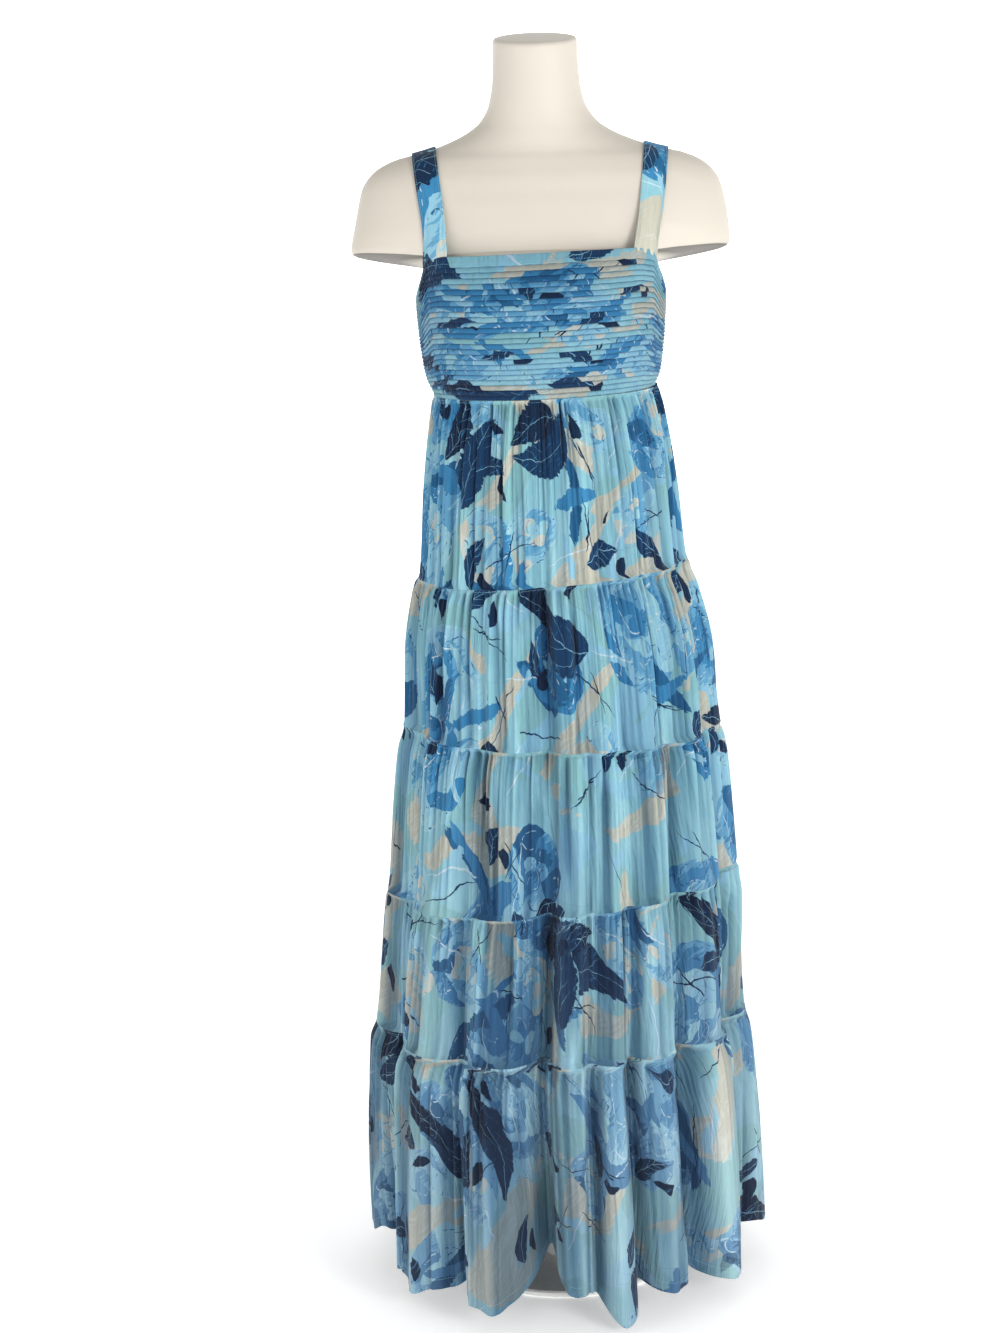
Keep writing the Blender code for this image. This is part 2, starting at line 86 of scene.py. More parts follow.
# Height of the bodice's cloth with its tucks sewn.
TUCK_PROFILE = (
    # share of the pitch up from the tuck's fold, share of the tuck's depth
    (0.00, 1.00),
    (0.04, 0.45),
    (0.12, 0.08),
    (0.26, 0.00),
    (0.50, 0.18),
    (0.76, 0.50),
    (0.96, 0.90),
)
BAND_PROFILE = (
    # share of the band's height, how far it is sunk
    (0.00, 0.0016),
    (0.04, 0.0006),
    (0.12, 0.0001),
    (0.35, 0.0000),
    (0.65, 0.0002),
    (0.93, 0.0003),
    (1.00, 0.0005),
)

# The outside of the bodice.
BODICE_SECTIONS = (
    # height, half_width, front, back, squareness
    (1.070, 0.1265, 0.106, 0.0930, 2.1),
    (1.078, 0.1290, 0.108, 0.0940, 2.1),
    (1.096, 0.1368, 0.116, 0.0965, 2.1),
    (1.114, 0.1400, 0.125, 0.0990, 2.2),
    (1.150, 0.1435, 0.137, 0.1020, 2.3),
    (1.185, 0.1450, 0.139, 0.1040, 2.4),
    (1.205, 0.1430, 0.131, 0.1045, 2.7),
    (1.225, 0.1390, 0.120, 0.1045, 3.5),
    (1.247, 0.1355, 0.107, 0.1040, 4.6),
)

# The front armhole, from the side seam up to the square corner of the neck.
ARMHOLE = (
    # degrees from the side seam, height
    (0, 1.190),
    (12, 1.198),
    (22, 1.214),
    (31, 1.2375),
    (36, 1.2405),
    (42, 1.243),
    (90, 1.243),
)

# The outside of the skirt: its envelope, how far the dress leans towards +X, and how deep its
# large folds cut in from the envelope.
SKIRT_SECTIONS = (
    # height, half_width, front, back, squareness, lean, fold_depth
    (1.085, 0.1300, 0.108, 0.094, 2.10, 0.003, 0.000),
    (1.052, 0.1380, 0.117, 0.105, 2.10, 0.004, 0.001),
    (0.970, 0.1500, 0.132, 0.124, 2.10, 0.0055, 0.003),
    (0.868, 0.1600, 0.143, 0.140, 2.10, 0.0065, 0.006),
    (0.842, 0.1690, 0.152, 0.148, 2.10, 0.007, 0.008),
    (0.774, 0.1835, 0.164, 0.160, 2.10, 0.009, 0.011),
    (0.680, 0.1905, 0.172, 0.168, 2.10, 0.0105, 0.015),
    (0.655, 0.1970, 0.179, 0.175, 2.10, 0.010, 0.017),
    (0.586, 0.2040, 0.187, 0.182, 2.10, 0.009, 0.020),
    (0.493, 0.2115, 0.196, 0.191, 2.10, 0.0075, 0.025),
    (0.468, 0.2160, 0.201, 0.196, 2.10, 0.0065, 0.028),
    (0.405, 0.2205, 0.208, 0.202, 2.10, 0.004, 0.033),
    (0.318, 0.2260, 0.216, 0.209, 2.10, 0.000, 0.042),
    (0.288, 0.2355, 0.225, 0.217, 2.10, -0.0025, 0.047),
    (0.180, 0.2440, 0.238, 0.227, 2.05, -0.002, 0.064),
    (0.000, 0.2490, 0.252, 0.238, 2.05, -0.001, 0.086),
)

# The large folds, from the wearer's right side round the front, and then round the back. A fold
# lies between one crest and the next: its valley's share of fold_depth, how far the hem hangs down
# at the first crest, how far it rises in the valley, how far the lobes beside the valley close over
# it as a share of the fold's width, and how far the valley is skewed towards the next crest.
FRONT_FOLDS = (
    # crest (degrees from the side seam), valley, hang, rise, closing, skew
    (0, 0.80, -0.019, 0.012, 0.135, 1.00),
    (43, 0.45, 0.008, 0.006, 0.120, 1.00),
    (67, 1.15, 0.013, 0.038, 0.030, 1.45),
    (93, 0.40, -0.009, 0.004, 0.110, 1.00),
    (106, 0.60, 0.026, 0.014, 0.150, 1.00),
    (121, 0.95, -0.002, 0.022, 0.125, 1.15),
    (144, 0.95, 0.012, 0.026, 0.135, 1.00),
)
BACK_FOLDS = (
    (0, 0.80, -0.013, 0.010, 0.130, 1.00),
    (24, 0.90, 0.006, 0.012, 0.120, 1.10),
    (46, 1.05, 0.004, 0.020, 0.130, 0.90),
    (69, 0.80, 0.012, 0.010, 0.110, 1.00),
    (90, 0.95, 0.004, 0.018, 0.130, 1.15),
    (114, 1.05, 0.012, 0.014, 0.125, 1.00),
    (136, 0.85, 0.002, 0.010, 0.120, 0.90),
    (158, 0.90, 0.010, 0.014, 0.130, 1.00),
)
SIDE_HANG = -0.011
FOLD_POWER = 2.6
# How far the hem rises from the crest of a lobe to its sides.
TONGUE = 0.009

# The form, from the bottom of its hips to its neck, and then its shoulders. Tip is how far a
# section leans down towards the front for each metre of depth.
FORM_SECTIONS = (
    # height, half_width, front, back, squareness, tip
    (0.640, 0.128, 0.082, 0.098, 2.2, 0.00),
    (0.652, 0.140, 0.090, 0.108, 2.2, 0.00),
    (0.690, 0.152, 0.096, 0.116, 2.2, 0.00),
    (0.740, 0.156, 0.099, 0.118, 2.2, 0.00),
    (0.800, 0.149, 0.095, 0.114, 2.2, 0.00),
    (0.868, 0.134, 0.087, 0.102, 2.2, 0.00),
    (0.920, 0.119, 0.081, 0.089, 2.2, 0.00),
    (0.965, 0.111, 0.079, 0.081, 2.2, 0.00),
    (1.020, 0.115, 0.085, 0.080, 2.2, 0.00),
    (1.078, 0.122, 0.099, 0.086, 2.2, 0.00),
    (1.110, 0.1325, 0.116, 0.091, 2.2, 0.00),
    (1.150, 0.1370, 0.129, 0.096, 2.3, 0.00),
    (1.185, 0.1380, 0.127, 0.098, 2.4, 0.00),
    (1.205, 0.1355, 0.113, 0.098, 2.5, -0.09),
    (1.224, 0.1310, 0.098, 0.097, 2.5, -0.18),
)
SHOULDER_SECTIONS = (
    # height, half_width, front, back, squareness, tip
    (1.228, 0.2150, 0.092, 0.095, 1.95, -0.18),
    (1.243, 0.2185, 0.088, 0.095, 2.10, -0.16),
    (1.265, 0.2160, 0.084, 0.094, 2.20, -0.10),
    (1.290, 0.2115, 0.078, 0.091, 2.20, -0.04),
    (1.312, 0.2060, 0.071, 0.087, 2.15, 0.00),
    (1.326, 0.1975, 0.066, 0.082, 2.10, 0.00),
    (1.336, 0.1860, 0.061, 0.078, 2.05, 0.00),
    (1.346, 0.1640, 0.056, 0.074, 2.00, 0.00),
    (1.353, 0.1340, 0.052, 0.070, 2.00, 0.00),
    (1.362, 0.1070, 0.049, 0.066, 2.00, 0.00),
    (1.373, 0.0830, 0.047, 0.062, 2.00, 0.02),
    (1.386, 0.0660, 0.045, 0.059, 2.00, 0.04),
    (1.405, 0.0550, 0.044, 0.056, 2.00, 0.07),
    (1.430, 0.0500, 0.044, 0.053, 2.00, 0.10),
    (1.463, 0.0484, 0.046, 0.052, 2.00, 0.12),
    (1.475, 0.0483, 0.047, 0.052, 2.00, 0.12),
    (1.478, 0.0465, 0.045, 0.050, 2.00, 0.12),
)
CAP_RISE = 0.009
# How far the shoulders and the neck stand towards +X.
TOP_LEANS = (
    (1.230, 0.0),
    (1.290, 0.0035),
    (1.350, 0.0035),
    (1.420, 0.0010),
    (1.480, 0.0010),
)

# Straps. A direction over the shoulder is measured at an eye inside it.
STRAP_WIDTH = 0.034
STRAP_FRONT_END = 0.80
# How much of its width a strap keeps over the shoulder, where it is pulled narrow.
STRAP_TOP = 0.80
STRAP_SHOULDER_X = 0.1335
STRAP_FRONT_X = 0.1180
STRAP_BACK_X = 0.088
STRAP_LIFTS = (-11, 221)
STRAP_CLEARANCE = 0.0012
STRAP_CLOTH = 0.0018
STRAP_UNDER = 0.0030
STRAP_TAIL = 0.006
STRAP_RAILS = 33
STRAP_STATIONS = 150
SHOULDER_EYE_Y = 0.012
SHOULDER_EYE_Z = 1.262

# Colours of the print, as they are seen.
PALETTE = {
    "aqua": (147, 201, 214),
    "pale_aqua": (167, 215, 225),
    "green_aqua": (150, 201, 205),
    "cream": (205, 200, 183),
    "pale_cream": (214, 213, 201),
    "pale_sky": (155, 206, 227),
    "sky": (109, 174, 210),
    "blue": (63, 140, 188),
    "deep_blue": (37, 104, 149),
    "navy": (19, 61, 99),
    "dark_navy": (13, 44, 76),
    "white": (212, 228, 236),
}
FLOOR_GLOW = 0.32
BACKDROP_GLOW = 0.90

WORLD_LIGHT = 0.34
LIGHTS = (
    # name, size, watts, place, target
    ("key", (1.2, 1.2), 68.0, (2.3, -3.2, 1.5), (0.0, 0.0, 0.5)),
    ("fill", (1.8, 1.8), 14.0, (-2.6, -2.8, 1.2), (0.0, 0.0, 0.4)),
    ("low", (2.4, 0.8), 10.0, (0.2, -3.0, 0.5), (0.0, 0.0, 0.2)),
    ("back", (2.4, 1.6), 9.0, (0.3, 1.4, 3.2), (0.0, 0.0, 0.9)),
)

# Where each piece is cut from the printed cloth, and how far the print's strokes lean, in radians.
TIER_PRINT_STEP = (0.37, 1.31)
BODICE_PRINT = (2.955, 2.214)
PRINT_SLANT = 0.95
STRAPS = (
    # name, side, pleats at the front end, place on the cloth
    ("strap_right", -1, 1.0, (6.952, 2.318)),
    ("strap_left", 1, 3.5, (2.67, 1.98)),
)

SEED = 7
COLUMNS = 1400
BODICE_COLUMNS = 380
FORM_COLUMNS = 192

# How far a seam is drawn in, and how far the cloth stands proud of its solid between seams.
SEAM_GROOVE = 0.0012
PUFF = 0.0018
# How deep a gather is where its painted shade is darkest.
PAINTED_SHADE_DEPTH = 0.0115
STITCH_PITCH = 0.0030
STITCH_LENGTH = 0.0022
STITCH_RADIUS = 0.00024
# How far the hem wavers up and down between the small folds.
HEM_WAVE = 0.0065
# Radius of the rolled hem.
HEM_ROLL = 0.0012

# Tiers from the waist down.
TIERS = (
    # top seam, bottom seam, rows, gathers round it, cloth for each metre that shows, fine, long
    (WAIST_SEAM, TIER_1_SEAM, 46, 120, 1.20, 0.0046, 0.0026),
    (TIER_1_SEAM, TIER_2_SEAM, 42, 128, 1.26, 0.0048, 0.0034),
    (TIER_2_SEAM, TIER_3_SEAM, 42, 134, 1.28, 0.0050, 0.0042),
    (TIER_3_SEAM, TIER_4_SEAM, 40, 138, 1.32, 0.0052, 0.0052),
    (TIER_4_SEAM, HEM, 58, 142, 1.33, 0.0054, 0.0060),
)

# The main creases of each tier, from the wearer's right side round the front and then the back.
CREASES = {
    # degrees, slant, where it starts and ends down the tier, width in degrees, depth
    1: (
        (14, 2, -0.1, 0.9, 2.6, 0.0022),
        (38, -2, 0.1, 1.1, 2.2, 0.0026),
        (57, 1, -0.1, 0.7, 1.8, 0.0022),
        (74, -1, 0.3, 1.1, 2.0, 0.0024),
        (96, 1, -0.1, 0.8, 1.6, 0.0020),
        (118, -2, 0.2, 1.1, 2.2, 0.0028),
        (141, 3, -0.1, 0.9, 2.0, 0.0030),
        (160, -2, 0.3, 1.1, 2.6, 0.0028),
        (196, 2, -0.1, 0.8, 2.4, 0.0024),
        (223, -1, 0.2, 1.1, 2.2, 0.0030),
        (252, 2, -0.1, 0.9, 1.8, 0.0024),
        (278, -2, 0.1, 1.1, 2.2, 0.0028),
        (304, 2, -0.1, 0.7, 2.0, 0.0026),
        (333, -1, 0.2, 1.1, 2.6, 0.0030),
    ),
    2: (
        (10, 3, -0.1, 1.1, 3.0, 0.0040),
        (31, -2, 0.2, 1.2, 2.2, 0.0036),
        (49, 2, -0.1, 0.8, 1.9, 0.0030),
        (66, 2, 0.1, 1.2, 2.4, 0.0044),
        (84, -1, -0.1, 0.7, 1.7, 0.0028),
        (99, 2, 0.3, 1.2, 2.0, 0.0036),
        (119, -2, -0.1, 1.2, 2.2, 0.0048),
        (133, 1, 0.1, 0.9, 1.8, 0.0036),
        (154, 3, -0.1, 1.2, 2.8, 0.0044),
        (189, -2, 0.1, 1.2, 2.6, 0.0040),
        (214, 2, -0.1, 0.8, 2.0, 0.0036),
        (237, -2, 0.2, 1.2, 2.4, 0.0046),
        (262, 1, -0.1, 1.0, 2.0, 0.0034),
        (290, 2, 0.1, 1.2, 2.6, 0.0046),
        (318, -2, -0.1, 0.9, 2.2, 0.0036),
        (342, 2, 0.2, 1.2, 2.4, 0.0042),
    ),
    3: (
        (8, -2, -0.1, 1.2, 2.8, 0.0050),
        (27, 2, 0.1, 1.2, 2.0, 0.0048),
        (42, -1, -0.1, 0.9, 1.7, 0.0040),
        (60, 2, -0.1, 1.2, 2.4, 0.0056),
        (78, -2, 0.2, 1.2, 1.9, 0.0046),
        (91, 1, -0.1, 0.8, 1.5, 0.0036),
        (105, -1, 0.1, 1.2, 2.0, 0.0052),
        (121, 1, -0.1, 1.2, 1.8, 0.0072),
        (136, -2, -0.1, 1.0, 1.8, 0.0056),
        (157, 2, 0.1, 1.2, 2.6, 0.0050),
        (183, 2, -0.1, 1.2, 2.4, 0.0048),
        (207, -2, 0.1, 1.0, 2.0, 0.0052),
        (229, 2, -0.1, 1.2, 2.2, 0.0060),
        (251, -1, 0.2, 1.2, 1.9, 0.0048),
        (274, 1, -0.1, 0.9, 2.0, 0.0052),
        (297, -2, 0.1, 1.2, 2.4, 0.0060),
        (321, 2, -0.1, 1.2, 2.2, 0.0052),
        (345, -1, 0.2, 1.2, 2.0, 0.0046),
    ),
    4: (
        (7, 2, -0.1, 1.2, 2.4, 0.0058),
        (28, -2, -0.1, 1.2, 1.9, 0.0066),
        (37, 1, 0.2, 1.2, 1.6, 0.0050),
        (52, 2, -0.1, 1.2, 2.2, 0.0062),
        (70, -1, 0.1, 1.2, 2.0, 0.0056),
        (85, 1, -0.1, 1.2, 1.5, 0.0072),
        (93, -1, 0.1, 0.9, 1.4, 0.0048),
        (103, 1, -0.1, 1.2, 1.7, 0.0080),
        (116, -1, -0.1, 1.2, 2.0, 0.0066),
        (130, 2, 0.2, 1.2, 1.8, 0.0052),
        (152, -2, -0.1, 1.2, 2.0, 0.0070),
        (172, 2, 0.1, 1.2, 2.4, 0.0056),
        (198, -2, -0.1, 1.2, 2.2, 0.0062),
        (219, 2, 0.1, 1.2, 1.8, 0.0056),
        (239, -1, -0.1, 1.2, 2.0, 0.0070),
        (259, 2, -0.1, 1.0, 1.6, 0.0052),
        (281, -2, 0.1, 1.2, 2.2, 0.0066),
        (303, 1, -0.1, 1.2, 2.0, 0.0060),
        (326, -2, -0.1, 1.2, 2.2, 0.0068),
        (348, 2, 0.2, 1.2, 1.8, 0.0054),
    ),
    5: (
        (6, -2, -0.1, 0.8, 2.2, 0.0060),
        (18, 2, 0.0, 1.4, 1.6, 0.0056),
        (39, 1, -0.1, 1.4, 2.0, 0.0076),
        (50, -1, 0.1, 1.4, 1.6, 0.0064),
        (62, 1, -0.1, 0.9, 1.8, 0.0056),
        (73, -1, 0.2, 1.4, 1.7, 0.0062),
        (92, 1, -0.1, 1.4, 1.6, 0.0070),
        (101, -1, 0.0, 1.4, 1.6, 0.0078),
        (111, 1, -0.1, 1.4, 1.5, 0.0060),
        (126, -2, 0.0, 0.9, 1.8, 0.0066),
        (139, 2, -0.1, 1.4, 1.7, 0.0064),
        (150, -1, 0.1, 1.4, 1.8, 0.0070),
        (168, 2, -0.1, 1.4, 2.2, 0.0066),
        (188, -2, 0.0, 1.4, 1.8, 0.0068),
        (205, 1, -0.1, 1.0, 1.8, 0.0056),
        (226, -1, -0.1, 1.4, 1.9, 0.0074),
        (247, 2, 0.1, 1.4, 1.7, 0.0064),
        (263, -1, -0.1, 1.4, 1.8, 0.0062),
        (287, 1, 0.0, 1.4, 2.0, 0.0076),
        (308, -2, -0.1, 1.0, 1.7, 0.0058),
        (329, 2, 0.0, 1.4, 2.0, 0.0070),
        (348, -1, 0.1, 1.4, 1.8, 0.0062),
    ),
}


def between(table, value, column):
    """A column of a table at these heights, on a smooth curve through its rows."""
    rows = np.array(sorted(table), float)
    x, y = rows[:, 0], rows[:, column]
    step = np.diff(x)
    secant = np.diff(y) / step
    slope = np.empty(len(x))
    slope[0], slope[-1] = secant[0], secant[-1]
    product = secant[:-1] * secant[1:]
    total = secant[:-1] + secant[1:]
    slope[1:-1] = np.where(product <= 0, 0.0, 2 * product / np.where(total == 0, 1.0, total))
    value = np.clip(np.asarray(value, float), x[0], x[-1])
    i = np.clip(np.searchsorted(x, value, side="right") - 1, 0, len(x) - 2)
    span = step[i]
    t = (value - x[i]) / span
    rise = (2 * t**3 - 3 * t**2 + 1) * y[i] + (3 * t**2 - 2 * t**3) * y[i + 1]
    return rise + (t**3 - 2 * t**2 + t) * span * slope[i] + (t**3 - t**2) * span * slope[i + 1]


def section_radius(table, height, angle):
    """How far the outline of a section reaches: a superellipse with its own front and back."""
    across, along = np.cos(angle), np.sin(angle)
    half_width = between(table, height, 1)
    depth = np.where(along < 0, between(table, height, 2), between(table, height, 3))
    power = between(table, height, 4)
    return ((np.abs(across) / half_width) ** power + (np.abs(along) / depth) ** power) ** (-1 / power)


def seam_height(seam, angle):
    return seam + SEAM_TILTS[seam] * np.cos(angle)


def smooth_step(value):
    value = np.clip(value, 0.0, 1.0)
    return value * value * (3 - 2 * value)


def all_folds():
    """The folds all the way round, with their crests in degrees from the wearer's right side."""
    back = BACK_FOLDS
    rows = [*FRONT_FOLDS, (180, back[-1][1], SIDE_HANG, *back[-1][3:])]
    for here, before in zip(back[:0:-1], back[-2::-1]):
        rows.append((360 - here[0], before[1], here[2], *before[3:]))
    return np.array(rows, float)


def fold_shares(turn):
    """At these turns from the wearer's right side: how far round the cloth moves as lobes close over
    their valleys, the valley's share of the fold depth, and how far the hem lies above its seam."""
    rows = all_folds()
    crests = np.append(rows[:, 0], 360.0)
    hangs = np.append(rows[:, 2], rows[0, 2])
    degrees = np.degrees(turn) % 360
    i = np.clip(np.searchsorted(crests, degrees, side="right") - 1, 0, len(rows) - 1)
    gap = crests[i + 1] - crests[i]
    along = ((degrees - crests[i]) / gap) ** rows[i, 5]
    valley = np.sin(np.pi * along) ** FOLD_POWER
    hang = hangs[i] + (hangs[i + 1] - hangs[i]) * (1 - np.cos(np.pi * along)) / 2
    closing = np.radians(gap) * np.sin(2 * np.pi * along) * rows[i, 4] * np.minimum(rows[i, 1], 1.0)
    tongue = TONGUE * np.sin(np.pi * along) ** 1.2
    return closing, rows[i, 1] * valley, rows[i, 3] * valley + tongue - hang


def paint(red, green, blue):
    """A colour given as it is seen, as the shader takes it."""
    seen = [value / 255 for value in (red, green, blue)]
    return (*(v / 12.92 if v <= 0.04045 else ((v + 0.055) / 1.055) ** 2.4 for v in seen), 1.0)


class Shade:
    """The nodes of one material. Each function gives the socket of what it works out."""

    def __init__(self, name):
        self.material = bpy.data.materials.new(name)
        self.material.use_nodes = True
        self.tree = self.material.node_tree
        self.shader = self.tree.nodes["Principled BSDF"]

    def feed(self, socket, value):
        if isinstance(value, bpy.types.NodeSocket):
            self.tree.links.new(value, socket)
        else:
            socket.default_value = value

    def node(self, kind, inputs, **settings):
        made = self.tree.nodes.new(kind)
        for key, value in settings.items():
            setattr(made, key, value)
        for key, value in inputs.items():
            self.feed(made.inputs[key], value)
        return made

    def calc(self, operation, *values, clamp=False):
        numbered = dict(enumerate(values))
        return self.node("ShaderNodeMath", numbered, operation=operation, use_clamp=clamp).outputs[0]

    def vector(self, operation, *values):
        made = self.node("ShaderNodeVectorMath", dict(enumerate(values)), operation=operation)
        return made.outputs["Value" if operation == "LENGTH" else "Vector"]

    def scaled(self, place, across, along):
        return self.vector("MULTIPLY", place, (across, along, 1.0))

    def split(self, place):
        return self.node("ShaderNodeSeparateXYZ", {0: place}).outputs

    def join(self, across, along):
        return self.node("ShaderNodeCombineXYZ", {0: across, 1: along}).outputs[0]

    def noise(self, place, scale, detail=2.0, distortion=0.0):
        inputs = {"Vector": place, "Scale": scale, "Detail": detail, "Distortion": distortion}
        return self.node("ShaderNodeTexNoise", inputs, noise_dimensions="2D").outputs

    def grain(self, place, scale, detail):
        """Noise in space, for solid things."""
        inputs = {"Vector": place, "Scale": scale, "Detail": detail}
        return self.node("ShaderNodeTexNoise", inputs).outputs["Fac"]

    def warped(self, place, scale, amount, detail=1.0):
        """A place moved about by noise."""
        moved = self.vector("SUBTRACT", self.noise(place, scale, detail)["Color"], (0.5, 0.5, 0.5))
        return self.vector("ADD", place, self.vector("MULTIPLY", moved, (amount, amount, 0.0)))

    def above(self, value, edge, soft):
        """0 below an edge and 1 above it."""
        return self.calc("MULTIPLY_ADD", value, 1 / soft, 0.5 - edge / soft, clamp=True)

    def within(self, value, edge, soft):
        return self.calc("MULTIPLY_ADD", value, -1 / soft, 0.5 + edge / soft, clamp=True)

    def both(self, *shares):
        found = shares[0]
        for share in shares[1:]:
            found = self.calc("MULTIPLY", found, share)
        return found

    def mix(self, share, below, above, way="MIX"):
        made = self.node("ShaderNodeMix", {}, data_type="RGBA", blend_type=way)
        self.feed(made.inputs[0], share)
        self.feed(made.inputs[6], below)
        self.feed(made.inputs[7], above)
        return made.outputs[2]

    def cells(self, place, scale, offset, loose=0.8):
        """Cells about scattered middles: the place in its own cell, and three chances for each cell."""
        moved = self.vector("ADD", place, (*offset, 0.0))
        found = self.node("ShaderNodeTexVoronoi", {"Vector": moved, "Scale": scale, "Randomness": loose},
                          voronoi_dimensions="2D", feature="F1").outputs
        own = self.vector("SUBTRACT", moved, found["Position"])
        return own, self.node("ShaderNodeSeparateColor", {0: found["Color"]}).outputs

    def turned(self, own, angle):
        return self.node("ShaderNodeVectorRotate", {"Vector": own, "Angle": angle},
                         rotation_type="Z_AXIS").outputs[0]

    def spun(self, own, chance):
        """A place turned by a share of a whole turn."""
        return self.turned(own, self.calc("MULTIPLY", chance, math.tau))

    def leaf(self, own, brush, wash, half_length, half_width, bend):
        """A pointed leaf bent along its own x: its mask, and its rib and broken veins."""
        x, y, _ = self.split(own)
        along = self.calc("DIVIDE", x, half_length)
        squared = self.calc("MULTIPLY", along, along)
        side = self.calc("MULTIPLY_ADD", squared, bend * half_width, y)
        beside = self.calc("ABSOLUTE", side)
        body = self.calc("POWER", self.calc("MULTIPLY_ADD", squared, -1.0, 1.0, clamp=True), 0.8)
        lean = self.calc("MULTIPLY_ADD", along, -0.42, 1.0)
        torn = self.calc("MULTIPLY_ADD", brush, 0.4, 0.80)
        reach = self.calc("MULTIPLY", self.both(body, lean, torn), half_width)
        inside = self.above(self.calc("SUBTRACT", reach, beside), 0.0, 0.0008)
        rib = self.within(beside, 0.00030, 0.0004)
        slanted = self.calc("MULTIPLY_ADD", beside, -1.1, x)
        curved = self.calc("MULTIPLY_ADD", self.calc("MULTIPLY", beside, beside), -9.0, slanted)
        spaced = self.calc("PINGPONG", curved, half_length * 0.19)
        side_vein = self.within(spaced, 0.00022, 0.0004)
        broken = self.above(wash, 0.50, 0.03)
        veins = self.calc("MAXIMUM", rib, self.both(side_vein, broken))
        return inside, self.both(veins, inside)

    def bloom(self, own, chance, radius, petals, rings):
        """A flower of whole petals round its middle: its mask, a tone for each petal, and how far out."""
        x, y, _ = self.split(own)
        around = self.calc("MULTIPLY", self.calc("ARCTAN2", y, x), petals / math.tau)
        around = self.calc("MULTIPLY_ADD", chance, 50.0, around)
        away = self.calc("MULTIPLY", self.vector("LENGTH", own), rings / radius)
        polar = self.join(around, away)
        settings = {"Vector": polar, "Scale": 1.0, "Randomness": 0.85}
        petal = self.node("ShaderNodeTexVoronoi", settings, voronoi_dimensions="2D", feature="F1").outputs
        middle = self.split(petal["Position"])
        inside = self.within(middle[1], rings - 0.25, 0.01)
        outward = self.calc("SUBTRACT", away, middle[1])
        chance = self.node("ShaderNodeSeparateColor", {0: petal["Color"]}).outputs[0]
        tone = self.calc("MULTIPLY_ADD", outward, 0.34, chance)
        return inside, tone, petal["Distance"]

    def stroke(self, own, brush, half_length, half_width, ragged):
        """A brush stroke along its own x, with ragged ends."""
        x, y, _ = self.split(own)
        along = self.calc("POWER", self.calc("ABSOLUTE", self.calc("DIVIDE", x, half_length)), 3.0)
        across = self.calc("DIVIDE", y, half_width)
        left = self.calc("SUBTRACT", 1.0, self.calc("MULTIPLY_ADD", across, across, along))
        left = self.calc("MULTIPLY_ADD", brush, ragged, left)
        return self.above(left, ragged / 2, 0.12)


AQUA, PALE_AQUA, GREEN_AQUA, CREAM, PALE_CREAM, PALE_SKY, SKY, BLUE, DEEP_BLUE, NAVY, DARK_NAVY, WHITE = (
    paint(*seen) for seen in PALETTE.values()
)


